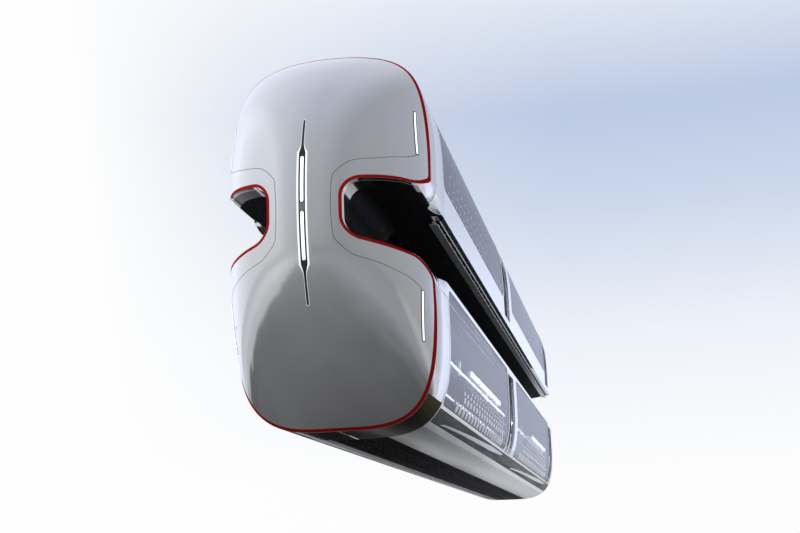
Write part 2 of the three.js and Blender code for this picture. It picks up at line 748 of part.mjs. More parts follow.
function bulkhead(deck) {
  const depth = (WALL + GAP) / HALF_WIDTH;
  const half = HALF_OUTLINE.map(([x, z], i) => {
    const [nx, nz] = HALF_NORMALS[i];
    return [Math.max(x - nx * depth, 0) * HALF_WIDTH, (z - nz * depth) * HALF_WIDTH];
  });
  const whole = [...half, ...half.slice(1, -1).reverse().map(([x, z]) => [-x, z])];
  const y1 = BODY_START - BULKHEAD.fromBody;
  const y0 = y1 - BULKHEAD.thick;
  const plate = prismY(whole, y0, y1);
  const room = box(-HALF_WIDTH, HALF_WIDTH, y0, y1, -2 * HALF_WIDTH, -BULKHEAD.head);
  return plate.intersect(facing(room, 'right', deck));
}

for (const deck of DECKS) addPiece(`nose_wall_${deck}`, bulkhead(deck), 'lining');

// The tail: a portal frame for each deck, a bellows ring round each gangway, and the coupler on the spine

const PORTAL = { half: 600, foot: 2590, head: 760, radius: 160 };
const BELLOWS = { reach: 180, border: 110 };
const COUPLER = { half: 260, height: 170, reach: 260 };

function podOutline() {
  const outerHalf = podCurve(0);
  const left = outerHalf.slice(0, -1).reverse().map(([x, z]) => [-x, z]);
  return [[SPINE_HALF, -NOTCH_ROOT], ...outerHalf, ...left, [-SPINE_HALF, -NOTCH_ROOT]];
}

function portalHole(extra, y0, y1) {
  const shape = roundedRect(-PORTAL.half - extra, PORTAL.half + extra,
    -PORTAL.foot - extra, -PORTAL.head + extra, PORTAL.radius);
  const geometry = new THREE.ExtrudeGeometry(shape, { depth: y1 - y0, bevelEnabled: false, curveSegments: 4 });
  geometry.rotateX(Math.PI / 2).translate(0, y1, 0);
  return toManifold(geometry);
}

function endFrame() {
  return prismY(podOutline(), BODY_END, TAIL_Y).subtract(portalHole(0, BODY_END - 1, TAIL_Y + 1));
}

function bellows() {
  const y0 = TAIL_Y + GAP;
  const y1 = TAIL_Y + BELLOWS.reach;
  return portalHole(BELLOWS.border, y0, y1).subtract(portalHole(0, y0 - 1, y1 + 1));
}

for (const deck of DECKS) {
  addPiece(`end_frame_${deck}`, facing(endFrame(), 'right', deck), 'white');
  addPiece(`gangway_bellows_${deck}`, facing(bellows(), 'right', deck), 'black');
}

addPiece('coupler', box(-COUPLER.half, COUPLER.half, BODY_END, TAIL_Y + COUPLER.reach,
  -COUPLER.height, COUPLER.height), 'steel');

export default train;
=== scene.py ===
"""Leading car of a double-deck train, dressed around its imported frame.

Metres, in the car's own frame: +Z up, +X across, the nose looks along -Y, and the origin lies in the
middle of the groove between the two pods. Every part is drawn once, for the right side of the lower
deck, and mirrored to the other side and the other deck.
"""

import math

import bmesh
import bpy
import numpy as np
from mathutils import Matrix, Vector


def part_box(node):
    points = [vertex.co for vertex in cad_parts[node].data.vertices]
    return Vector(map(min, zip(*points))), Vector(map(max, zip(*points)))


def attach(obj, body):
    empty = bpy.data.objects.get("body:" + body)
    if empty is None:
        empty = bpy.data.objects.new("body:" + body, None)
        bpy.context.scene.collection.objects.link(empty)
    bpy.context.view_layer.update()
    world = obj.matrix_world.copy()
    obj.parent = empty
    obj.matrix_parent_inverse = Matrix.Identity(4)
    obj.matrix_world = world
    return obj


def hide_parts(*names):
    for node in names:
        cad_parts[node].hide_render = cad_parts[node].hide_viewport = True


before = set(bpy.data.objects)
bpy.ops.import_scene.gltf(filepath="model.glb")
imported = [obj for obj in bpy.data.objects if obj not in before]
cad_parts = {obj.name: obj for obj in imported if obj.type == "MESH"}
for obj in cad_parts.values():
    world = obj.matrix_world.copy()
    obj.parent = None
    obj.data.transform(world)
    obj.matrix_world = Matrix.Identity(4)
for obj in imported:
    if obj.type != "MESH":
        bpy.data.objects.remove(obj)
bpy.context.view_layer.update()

# Driving sizes, read from the frame's own pieces
HALF_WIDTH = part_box("nose_collar")[1].x
NOSE_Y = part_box("nose_mask")[0].y
BODY_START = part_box("nose_collar")[1].y
BODY_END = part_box("end_frame_lower")[0].y
TAIL_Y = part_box("end_frame_lower")[1].y
BELLOWS_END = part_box("gangway_bellows_lower")[1].y
FLOOR_TOP = {"lower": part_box("lower_floor")[1].z, "upper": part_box("upper_floor")[1].z}
CEILING_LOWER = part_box("lower_ceiling")[0].z
PAN_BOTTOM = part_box("belly_pan")[0].z
POD_EDGE = -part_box("side_frame_lower_right")[1].z
WALL = 0.08
FIT = 0.0003
# How far trim stands off the face under it
CLEAR = 0.0004

# The hourglass section and the nose's bow, in half-widths
POD_CENTRE = 0.681
POD_REACH = 1.232
POD_POWER = 3.5
WAIST_HALF = 0.352
NOTCH_AT_AXIS = 0.187
NOTCH_SLOPE = 0.179
NOTCH_INNER_RADIUS = 0.157
NOTCH_OUTER_RADIUS = 0.139
NOTCH_OUTER_STRETCH = 1.2
BOW_DEPTH = 1.244
BOW_DEPTH_LOSS = 0.114
BOW_POWER = 2.034
LEAN_SQUARE = 0.178
LEAN_FOURTH = 0.042
TRIM_WIDTH = 0.045

# Joints between the panels
WALL_FOOT_W = 0.775
SEAM_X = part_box("skirt_right")[1].x
PAN_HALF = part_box("roof_crown")[1].x
CROWN_GAP = 0.008

# The red rim widens where the nose runs steeply back: only this share of the run counts there
STEEP_SHARE = 0.2

DECKS = ("lower", "upper")
SIDES = ("left", "right")
BAYS = ("front", "rear")
ACROSS = {"right": 1, "left": -1}
UPWARD = {"lower": 1, "upper": -1}


# Shader effects: each is one node group, placed in the finishes with its own scale


def add_node(tree, kind, sockets, **settings):
    """A node with its settings, and with each socket set to a value or linked to another node's output."""
    made = tree.nodes.new(kind)
    for key, value in settings.items():
        setattr(made, key, value)
    for label, value in sockets.items():
        if isinstance(value, bpy.types.NodeSocket):
            tree.links.new(value, made.inputs[label])
        else:
            made.inputs[label].default_value = value
    return made


class Effect:
    """A shader node group with one scale and the outputs that its builder names."""

    def __init__(self, fill):
        self.tree = bpy.data.node_groups.new(fill.__name__, "ShaderNodeTree")
        self.tree.interface.new_socket("Scale", in_out="INPUT", socket_type="NodeSocketFloat")
        self.scale = self.tree.nodes.new("NodeGroupInput").outputs["Scale"]
        self.place = self.tree.nodes.new("ShaderNodeTexCoord").outputs["Object"]
        sources = fill(self)
        for label in sources:
            self.tree.interface.new_socket(label, in_out="OUTPUT", socket_type="NodeSocketFloat")
        add_node(self.tree, "NodeGroupOutput", sources)

    def stretched(self, x, y, z):
        sockets = {"Vector": self.place, "Scale": (x, y, z)}
        return add_node(self.tree, "ShaderNodeMapping", sockets).outputs["Vector"]

    def noise(self, vector, scale, detail=4.0, roughness=0.5):
        sockets = {"Vector": vector, "Scale": scale, "Detail": detail, "Roughness": roughness}
        return add_node(self.tree, "ShaderNodeTexNoise", sockets).outputs["Fac"]

    def cells(self, scale, randomness=1.0):
        sockets = {"Vector": self.place, "Scale": scale, "Randomness": randomness}
        return add_node(self.tree, "ShaderNodeTexVoronoi", sockets).outputs["Distance"]

    def span(self, value, low, high):
        sockets = {"Value": value, "From Min": low, "From Max": high}
        return add_node(self.tree, "ShaderNodeMapRange", sockets).outputs["Result"]


def sprayed_paint(g):
    """Sprayed paint: a fine orange peel, slow tone changes, and tiny flakes."""
    return {"Peel": g.noise(g.place, g.scale, 2.0),
            "Tone": g.span(g.noise(g.stretched(1.0, 0.35, 1.0), 0.7, 3.0), 0.3, 0.7),
            "Flake": g.span(g.cells(900.0), 0.1, 0.6)}


def road_film(g):
    """A thin travel film: streaks run back along the car, with a few fine specks."""
    return {"Streak": g.span(g.noise(g.stretched(1.0, 0.05, 1.6), g.scale, 6.0, 0.6), 0.42, 0.72),
            "Speck": g.span(g.noise(g.place, 45.0, 2.0), 0.66, 0.74)}


def polish_lines(g):
    """Polished sheet metal: hair lines along the car and a faint oil-canning of the sheet."""
    return {"Line": g.noise(g.stretched(1.0, 0.02, 1.0), g.scale, 3.0),
            "Wave": g.noise(g.stretched(1.0, 0.45, 1.0), 1.1, 1.0)}


def ground_metal(g):
    """A ground running face: lines across the rail and a bright worn track along it."""
    return {"Grain": g.noise(g.stretched(0.05, 1.0, 1.0), g.scale),
            "Track": g.span(g.noise(g.stretched(8.0, 0.06, 1.0), 3.0, 3.0), 0.35, 0.65)}


def moulded_grain(g):
    """Moulded plastic and rubber: a leathery grain with scuffs."""
    return {"Grain": g.cells(g.scale),
            "Scuff": g.span(g.noise(g.place, 9.0, 6.0, 0.65), 0.5, 0.75)}


def lamp_matrix(g):
    """Rows of light points behind a diffusing cover, brighter at each point."""
    return {"Point": g.span(g.cells(g.scale, 0.0), 0.55, 0.15),
            "Glow": g.span(g.noise(g.place, 2.0, 2.0), 0.3, 0.7)}


def floor_fleck(g):
    """Sheet flooring: coloured flecks in a plain ground, dulled where people walk."""
    return {"Fleck": g.span(g.cells(g.scale), 0.16, 0.1),
            "Tread": g.span(g.noise(g.stretched(1.5, 0.2, 1.0), 2.0), 0.35, 0.7)}


EFFECTS = {fill.__name__: Effect(fill).tree for fill in (
    sprayed_paint, road_film, polish_lines, ground_metal, moulded_grain, lamp_matrix, floor_fleck)}


# Finishes: one Principled shader each, with the effects wired to its changing sockets


class Finish:
    """A material under construction: its constants sit on the shader's own sockets."""

    def __init__(self, name, slot, colour, roughness, **constants):
        self.slot = slot
        self.colour = (*colour, 1.0)
        self.material = bpy.data.materials.new(name)
        self.material.use_nodes = True
        self.tree = self.material.node_tree
        self.shader = self.tree.nodes["Principled BSDF"]
        self.shader.inputs["Base Color"].default_value = self.colour
        self.shader.inputs["Roughness"].default_value = roughness
        for label, value in constants.items():
            self.shader.inputs[label.replace("_", " ")].default_value = value

    def wired(self, kind, sockets, target, **settings):
        """Adds a node and leads its result to one of the shader's sockets."""
        made = add_node(self.tree, kind, sockets, **settings)
        result = next(output for output in made.outputs if output.enabled)
        self.tree.links.new(result, self.shader.inputs[target])

    def effect(self, name, scale):
        return add_node(self.tree, "ShaderNodeGroup", {"Scale": scale}, node_tree=EFFECTS[name]).outputs

    def worn(self, name, scale, tint=None, rough=None, bump=None):
        """Lays an effect on: each of the three names the effect's output and then what it does.

        A tint mixes a colour over the base colour by a share, rough runs between two roughnesses,
        and a bump has a strength and a distance.
        """
        masks = self.effect(name, scale)
        if tint:
            mask, colour, amount = tint
            base = self.shader.inputs["Base Color"]
            under = base.links[0].from_socket if base.is_linked else self.colour
            share = add_node(self.tree, "ShaderNodeMath", {0: masks[mask], 1: amount}, operation="MULTIPLY")
            self.wired("ShaderNodeMix", {"Factor": share.outputs[0], "A": under, "B": (*colour, 1.0)},
                       "Base Color", data_type="RGBA")
        if rough:
            mask, low, high = rough
            self.wired("ShaderNodeMapRange", {"Value": masks[mask], "To Min": low, "To Max": high},
                       "Roughness")
        if bump:
            height, strength, distance = bump
            sockets = {"Height": masks[height], "Strength": strength, "Distance": distance}
            self.wired("ShaderNodeBump", sockets, "Normal")
        return self

    def lit(self, scale, mask, colour):
        """Glows in a colour that turns white where the lamp matrix says."""
        self.wired("ShaderNodeMix", {"Factor": self.effect("lamp_matrix", scale)[mask], "A": (*colour, 1.0),
                                     "B": (1.0, 1.0, 1.0, 1.0)}, "Emission Color", data_type="RGBA")
        return self

    def coated(self, colour, share):
        """A coating that passes this share of the light straight through, and all shadow rays."""
        clear = add_node(self.tree, "ShaderNodeBsdfTransparent", {"Color": (*colour, 1.0)})
        path = self.tree.nodes.new("ShaderNodeLightPath")
        passed = add_node(self.tree, "ShaderNodeMath", {0: path.outputs["Is Shadow Ray"], 1: share},
                          operation="MAXIMUM")
        sockets = {"Fac": passed.outputs[0], 1: self.shader.outputs["BSDF"], 2: clear.outputs["BSDF"]}
        choice = add_node(self.tree, "ShaderNodeMixShader", sockets)
        self.tree.links.new(choice.outputs["Shader"], self.tree.nodes["Material Output"].inputs["Surface"])
        return self


LACQUER = {"Coat_Weight": 1.0, "Coat_Roughness": 0.03}
GLAZE = {"Coat_Weight": 1.0, "Coat_Roughness": 0.05}
FINISHES = {
    "pearl": Finish("pearl_paint", "pearl_shell", (0.58, 0.58, 0.58), 0.12, Metallic=0.9, **LACQUER)
    .worn("sprayed_paint", 55.0, ("Tone", (0.61, 0.61, 0.61), 0.5), ("Flake", 0.10, 0.16),
          ("Peel", 0.03, 0.0004))
    .worn("road_film", 2.0, ("Speck", (0.42, 0.41, 0.39), 0.05)),

    "red": Finish("red_edge_paint", "red_trim", (0.38, 0.011, 0.009), 0.4, Specular_IOR_Level=0.0)
    .worn("sprayed_paint", 90.0, ("Tone", (0.44, 0.016, 0.012), 0.6), ("Flake", 0.3, 0.45)),

    "polished": Finish("polished_sheet", "polished_metal", (0.84, 0.85, 0.88), 0.06, Metallic=1.0)
    .worn("polish_lines", 150.0, None, ("Line", 0.04, 0.09), ("Wave", 0.08, 0.02))
    .worn("road_film", 2.5, ("Streak", (0.72, 0.71, 0.69), 0.25)),

    # The sheet under the pods: a darker copy of the polished sheet, painted shade that dims what it reflects,
    # with streaks of road grime
    "skirt": Finish("skirt_sheet_painted_shade", "polished_metal", (0.47, 0.46, 0.42), 0.12, Metallic=1.0)
    .worn("polish_lines", 150.0, None, ("Line", 0.08, 0.16), ("Wave", 0.08, 0.02))
    .worn("road_film", 2.5, ("Streak", (0.37, 0.36, 0.32), 0.35)),

    "body": Finish("silver_white_body", "body_white", (0.86, 0.87, 0.90), 0.1, Metallic=0.85, **LACQUER)
    .worn("sprayed_paint", 70.0, ("Tone", (0.89, 0.90, 0.92), 0.5), None, ("Peel", 0.03, 0.0004))
    .worn("road_film", 2.5, ("Streak", (0.72, 0.71, 0.69), 0.12), ("Streak", 0.07, 0.13)),

    "black": Finish("black_underside", "body_black", (0.005, 0.005, 0.006), 0.7, Specular_IOR_Level=0.02)
    .worn("moulded_grain", 260.0, None, ("Scuff", 0.55, 0.8), ("Grain", 0.1, 0.0006))
    .worn("road_film", 4.0, ("Streak", (0.02, 0.019, 0.018), 0.3)),

    "channel": Finish("lamp_channel", "body_black", (0.010, 0.010, 0.011), 0.35)
    .worn("moulded_grain", 500.0, ("Scuff", (0.03, 0.03, 0.033), 0.4), ("Scuff", 0.3, 0.42)),

    "bezel": Finish("white_bezel", "body_white", (0.86, 0.87, 0.88), 0.2, **GLAZE)
    .worn("sprayed_paint", 120.0, ("Tone", (0.80, 0.81, 0.83), 0.5), ("Flake", 0.18, 0.26)),

    # A white light guide, faintly lit from inside
    "lit_rim": Finish("lit_rim", "lamp_lens", (0.88, 0.88, 0.88), 0.2, Emission_Strength=0.55, **GLAZE)
    .lit(12.0, "Glow", (0.90, 0.91, 0.93)),

    "rail": Finish("rail_metal", "rail_steel", (0.74, 0.75, 0.76), 0.3, Metallic=0.7)
    .worn("ground_metal", 240.0, ("Track", (0.88, 0.88, 0.88), 0.6), ("Grain", 0.2, 0.4),
          ("Grain", 0.15, 0.0004)),

    "lens": Finish("lamp_lens", "lamp_lens", (0.95, 0.97, 1.0), 0.2, Emission_Strength=1.1)
    .lit(18.0, "Glow", (0.92, 0.95, 1.0)),

    "display": Finish("display_matrix", "lamp_lens", (0.75, 0.75, 0.75), 0.4, Emission_Strength=9.0)
    .lit(30.0, "Point", (0.80, 0.81, 0.83)),

    # Tinted glass with a coating that halves its glare. Shadow rays pass it, so daylight gets in
    "glass": Finish("tinted_glass", "glazing", (0.50, 0.53, 0.60), 0.0, Transmission_Weight=1.0, IOR=1.45,
                    Specular_Tint=(0.72, 0.74, 0.80, 1.0))
    .worn("road_film", 3.0, None, ("Speck", 0.0, 0.05))
    .coated((0.46, 0.49, 0.55), 0.45),

    # The white ceramic marks printed on the glass
    "frit": Finish("printed_frit", "polished_metal", (0.97, 0.97, 0.97), 0.25)
    .worn("moulded_grain", 300.0, ("Scuff", (0.90, 0.91, 0.92), 0.4), ("Scuff", 0.2, 0.3)),

    # The dark band of back-painted glass along the foot of each lower wall
    "sill": Finish("smoked_sill", "body_black", (0.034, 0.035, 0.038), 0.3, Specular_IOR_Level=0.02)
    .worn("road_film", 3.5, ("Streak", (0.09, 0.088, 0.084), 0.35), ("Streak", 0.2, 0.4)),

    "rubber": Finish("seal_rubber", "bellows_rubber", (0.016, 0.016, 0.018), 0.55)
    .worn("moulded_grain", 600.0, ("Scuff", (0.045, 0.045, 0.047), 0.5), ("Scuff", 0.48, 0.7)),

    "seam": Finish("seam_filler", "body_black", (0.07, 0.07, 0.075), 0.6)
    .worn("moulded_grain", 600.0, ("Scuff", (0.12, 0.12, 0.125), 0.5), ("Scuff", 0.5, 0.7)),

    "spacer": Finish("lamp_spacer", "body_black", (0.20, 0.21, 0.23), 0.4)
    .worn("moulded_grain", 500.0, ("Scuff", (0.26, 0.27, 0.29), 0.4), ("Scuff", 0.34, 0.5)),

    # A near-black copy of the polished sheet: painted shade for the dark ground that the collar's underside
    # reflects
    "smoked": Finish("collar_underside_painted_shade", "polished_metal", (0.062, 0.060, 0.055), 0.08, Metallic=1.0,
                     Specular_Tint=(0.3, 0.29, 0.26, 1.0))
    .worn("polish_lines", 150.0, ("Line", (0.085, 0.082, 0.075), 0.5), ("Line", 0.05, 0.1),
          ("Wave", 0.1, 0.02)),

    "seat": Finish("seat_plastic", "seat_shell", (0.10, 0.13, 0.18), 0.42)
    .worn("moulded_grain", 380.0, ("Scuff", (0.17, 0.20, 0.25), 0.5), ("Scuff", 0.34, 0.55),
          ("Grain", 0.15, 0.0004)),

    "lining": Finish("lining_panel", "lining", (0.70, 0.70, 0.69), 0.5)
    .worn("moulded_grain", 300.0, ("Scuff", (0.62, 0.62, 0.61), 0.4), ("Scuff", 0.42, 0.6),
          ("Grain", 0.08, 0.0004)),

    "flooring": Finish("sheet_flooring", "lining", (0.20, 0.21, 0.23), 0.5)
    .worn("floor_fleck", 120.0, ("Fleck", (0.42, 0.44, 0.46), 0.8), ("Tread", 0.4, 0.65)),

    "pole": Finish("brushed_pole", "rail_steel", (0.78, 0.79, 0.80), 0.22, Metallic=1.0)
    .worn("ground_metal", 320.0, ("Track", (0.70, 0.71, 0.72), 0.5), ("Grain", 0.16, 0.3)),
}


# Meshes


class Shape:
    """Points and faces, with one shading normal at each face corner, held as arrays."""

    def __init__(self, points, corners, sizes, normals):
        self.points = np.asarray(points, float).reshape(-1, 3)
        self.corners = np.asarray(corners, np.int64).reshape(-1)
        self.sizes = np.asarray(sizes, np.int64).reshape(-1)
        self.normals = np.asarray(normals, float).reshape(-1, 3)

    def reversed(self):
        """The same points, with every face turned round."""
        starts = np.repeat(np.cumsum(self.sizes) - self.sizes, self.sizes)
        order = 2 * starts + np.repeat(self.sizes, self.sizes) - 1 - np.arange(len(self.corners))
        return Shape(self.points, self.corners[order], self.sizes, self.normals[order])

    def on(self, side="right", deck="lower"):
        """The same shape on another side or deck."""
        signs = np.array([ACROSS[side], 1, UPWARD[deck]])
        shape = Shape(self.points * signs, self.corners, self.sizes, self.normals * signs)
        return shape if signs.prod() > 0 else shape.reversed()

    def moved(self, x=0.0, y=0.0, z=0.0):
        return Shape(self.points + np.array([x, y, z], float), self.corners, self.sizes, self.normals)


def merged(shapes):
    shapes = list(shapes)
    starts = np.cumsum([0] + [len(s.points) for s in shapes[:-1]])
    return Shape(
        np.concatenate([s.points for s in shapes]),
        np.concatenate([s.corners + start for s, start in zip(shapes, starts)]),
        np.concatenate([s.sizes for s in shapes]),
        np.concatenate([s.normals for s in shapes]),
    )


def piece(name, shape, finish, body="root", replaces=()):
    mesh = bpy.data.meshes.new(name)
    mesh.vertices.add(len(shape.points))
    mesh.vertices.foreach_set("co", shape.points.astype(np.float32).ravel())
    mesh.loops.add(len(shape.corners))
    mesh.loops.foreach_set("vertex_index", shape.corners.astype(np.int32))
    mesh.polygons.add(len(shape.sizes))
    mesh.polygons.foreach_set("loop_start", (np.cumsum(shape.sizes) - shape.sizes).astype(np.int32))
    mesh.polygons.foreach_set("use_smooth", np.ones(len(shape.sizes), bool))
    mesh.update(calc_edges=True)
    mesh.normals_split_custom_set([tuple(n) for n in shape.normals])
    mesh.materials.append(FINISHES[finish].material)
    made = bpy.data.objects.new(name, mesh)
    bpy.context.scene.collection.objects.link(made)
    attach(made, body)
    if replaces:
        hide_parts(*replaces)
    return made


def on_both_sides(stem, shape, finish, deck=None, bay=None, body=None, stands_for=None):
    """The same piece on the right and the left, with the deck, side and bay at the end of its name.

    body and stands_for are the stems of the body it rides on and of the node it stands for.
    """
    for side in SIDES:
        tag = "_".join(word for word in (deck, side, bay) if word)
        piece(f"{stem}_{tag}", shape.on(side, deck or "lower"), finish, f"{body}_{tag}" if body else "root",
              [f"{stands_for}_{tag}"] if stands_for else ())


def unit(vectors):
    vectors = np.asarray(vectors, float)
    return vectors / np.maximum(np.linalg.norm(vectors, axis=-1, keepdims=True), 1e-12)


def run_lengths(points):
    """How far along a row of points each one lies."""
    return np.concatenate([[0], np.cumsum(np.hypot(*np.diff(points, axis=0).T))])


def mirrored_half(half):
    """A whole loop from its right half, which starts and ends on the centre line."""
    return np.concatenate([half, half[-2:0:-1] * [-1, 1]])


def from_bmesh(bm, smooth_angle=40.0):
    """Reads a bmesh, with shading averaged over the faces that meet at a low angle."""
    bm.normal_update()
    bm.verts.index_update()
    limit = math.cos(math.radians(smooth_angle))
    corners, sizes, normals = [], [], []
    for face in bm.faces:
        sizes.append(len(face.verts))
        for v in face.verts:
            total = Vector((0, 0, 0))
            for other in v.link_faces:
                if other.normal.dot(face.normal) > limit:
                    total += other.normal * other.calc_area()
            corners.append(v.index)
            normals.append(tuple(total.normalized() if total.length > 0 else face.normal))
    shape = Shape([tuple(v.co) for v in bm.verts], corners, sizes, normals)
    bm.free()
    return shape


# Surfaces: each gives, at (a, b), the point, the outward normal, and the directions of a and of b


def pod_arc(share):
    """The pod's rounded outline: how far out it lies on one axis for a share of the other."""
    return (1 - share ** POD_POWER) ** (1 / POD_POWER)


WALL_ROWS = 12
SIDE_ROWS = 200
UNDER_ROWS = 260
# From this row of the section on, x falls steadily
TURN_ROW = 40


def section_sample():
    """The pod's half section below the waist, from the wall's top edge round to the centre line."""
    corner = 0.5 ** (1 / POD_POWER)
    wall_z = np.linspace(-POD_EDGE, -POD_CENTRE * HALF_WIDTH, WALL_ROWS)[:-1]
    w = np.linspace(0, corner, SIDE_ROWS)
    under = np.linspace(corner, 0, UNDER_ROWS)[1:]
    w, across = np.concatenate([w, pod_arc(under)]), np.concatenate([pod_arc(w), under])
    normal = unit(np.stack([across ** (POD_POWER - 1), -(w ** (POD_POWER - 1)) / POD_REACH], 1))
    x = np.concatenate([np.full(len(wall_z), HALF_WIDTH), HALF_WIDTH * across])
    z = np.concatenate([wall_z, -HALF_WIDTH * (POD_CENTRE + POD_REACH * w)])
    normal = np.concatenate([np.tile([1.0, 0.0], (len(wall_z), 1)), normal])
    outline = np.stack([x, z], 1)
    return run_lengths(outline), outline, normal


SKIN_S, SKIN, SKIN_NORMAL = section_sample()
SKIN_END = SKIN_S[-1]


def s_at_z(z):
    """How far down the skin a height lies, on the side of the pod."""
    return float(np.interp(-z, -SKIN[:, 1], SKIN_S))


def s_at_x(x):
    """How far round the skin a place under the pod lies."""
    return float(np.interp(-x, -SKIN[TURN_ROW:, 0], SKIN_S[TURN_ROW:]))


def swept(ab, s, outline, normals, turn):
    """A surface that carries an (x, z) outline along the car: a runs round it and b along the car."""
    a, b = ab[:, 0], ab[:, 1]
    x, z, nx, nz = (np.interp(a, s, column) for column in (*outline.T, *normals.T))
    flat = np.zeros_like(a)
    normal = unit(np.stack([nx, flat, nz], 1))
    onward = np.stack([-normal[:, 2], flat, normal[:, 0]], 1) * turn
    return np.stack([x, b, z], 1), normal, onward, np.tile([0.0, 1.0, 0.0], (len(a), 1))


def skin(ab):
    """The pod's outer surface: a runs down the side wall and round to the centre line, b along the car."""
    return swept(ab, SKIN_S, SKIN, SKIN_NORMAL, -1)


def bow(x, z):
    share = np.minimum(np.abs(x), 1.0) ** BOW_POWER
    depth = BOW_DEPTH - BOW_DEPTH_LOSS * z * z
    return depth * (1 - (1 - share) ** (1 / BOW_POWER)) + LEAN_SQUARE * z * z + LEAN_FOURTH * z ** 4


def nose(ab):
    """The nose's outer surface over (x, z) in metres."""
    x, z = ab[:, 0] / HALF_WIDTH, ab[:, 1] / HALF_WIDTH
    step = 1e-4
    held = np.clip(x, -1 + 2 * step, 1 - 2 * step)
    dx = (bow(held + step, z) - bow(held - step, z)) / (2 * step)
    dz = (bow(held, z + step) - bow(held, z - step)) / (2 * step)
    one, flat = np.ones_like(x), np.zeros_like(x)
    points = np.stack([ab[:, 0], NOSE_Y + bow(x, z) * HALF_WIDTH, ab[:, 1]], 1)
    return (points, unit(np.stack([dx, -one, dz], 1)), unit(np.stack([one, dx, flat], 1)),
            unit(np.stack([flat, dz, one], 1)))


def plane(origin, a_way, b_way, normal):
    """A flat surface: (a, b) run along two directions from an origin."""
    origin, a_way, b_way, normal = (np.array(v, float) for v in (origin, a_way, b_way, normal))

    def surface(ab):
        points = origin + ab[:, :1] * a_way + ab[:, 1:2] * b_way
        rows = (len(ab), 1)
        return points, np.tile(normal, rows), np.tile(a_way, rows), np.tile(b_way, rows)

    return surface


def floor_plane(z, facing=1):
    return plane((0, 0, z), (1, 0, 0), (0, 1, 0), (0, 0, facing))


def across_plane(y, facing=1):
    return plane((0, y, 0), (1, 0, 0), (0, 0, 1), (0, facing, 0))


# Loops are closed rows of (a, b) that run anticlockwise


def loop_area(loop):
    a, b = loop[:, 0], loop[:, 1]
    return 0.5 * np.sum(a * np.roll(b, -1) - np.roll(a, -1) * b)


def turned(loop, anticlockwise=True):
    loop = np.asarray(loop, float)
    return loop if (loop_area(loop) > 0) == anticlockwise else loop[::-1]


def edge_normals(loop):
    way = unit(np.roll(loop, -1, 0) - loop)
    return np.stack([way[:, 1], -way[:, 0]], 1)


# The least that the normals at a corner count as having in common, so that no mitre reaches too far
MITRE_LIMIT = 0.2


def mitred(before, after):
    """Where each corner moves when every edge moves out by one."""
    return (before + after) / np.maximum(1 + np.sum(before * after, 1, keepdims=True), MITRE_LIMIT)


def offset(loop, distance):
    out = edge_normals(loop)
    return loop + mitred(np.roll(out, 1, 0), out) * distance


def rounded(a0, a1, b0, b1, radius, steps=8):
    """A rectangle with round corners."""
    points = []
    for ca, cb, start in ((a1 - radius, b0 + radius, -90), (a1 - radius, b1 - radius, 0),
                          (a0 + radius, b1 - radius, 90), (a0 + radius, b0 + radius, 180)):
        for k in range(steps + 1):
            angle = math.radians(start + 90 * k / steps)
            points.append((ca + radius * math.cos(angle), cb + radius * math.sin(angle)))
    return np.array(points)


def stepped(loop):
    """The same loop with steps along its upright stretches, so that it follows the wall's curve."""
    points = []
    for start, end in zip(loop, np.roll(loop, -1, 0)):
        steps = max(1, round(abs(end[0] - start[0]) / SKIN_STEP))
        points += [start + (end - start) * k / steps for k in range(steps)]
    return np.array(points)


def on_skin(yz_loop):
    """A loop drawn in (y, z) on the side wall, as a loop on the skin."""
    return stepped(turned([(s_at_z(z), y) for y, z in yz_loop]))


# Faces whose normals have more than this in common are shaded as one curve, along a strip and round it
SMOOTH_ALONG = 0.6
SMOOTH_ROUND = 0.7


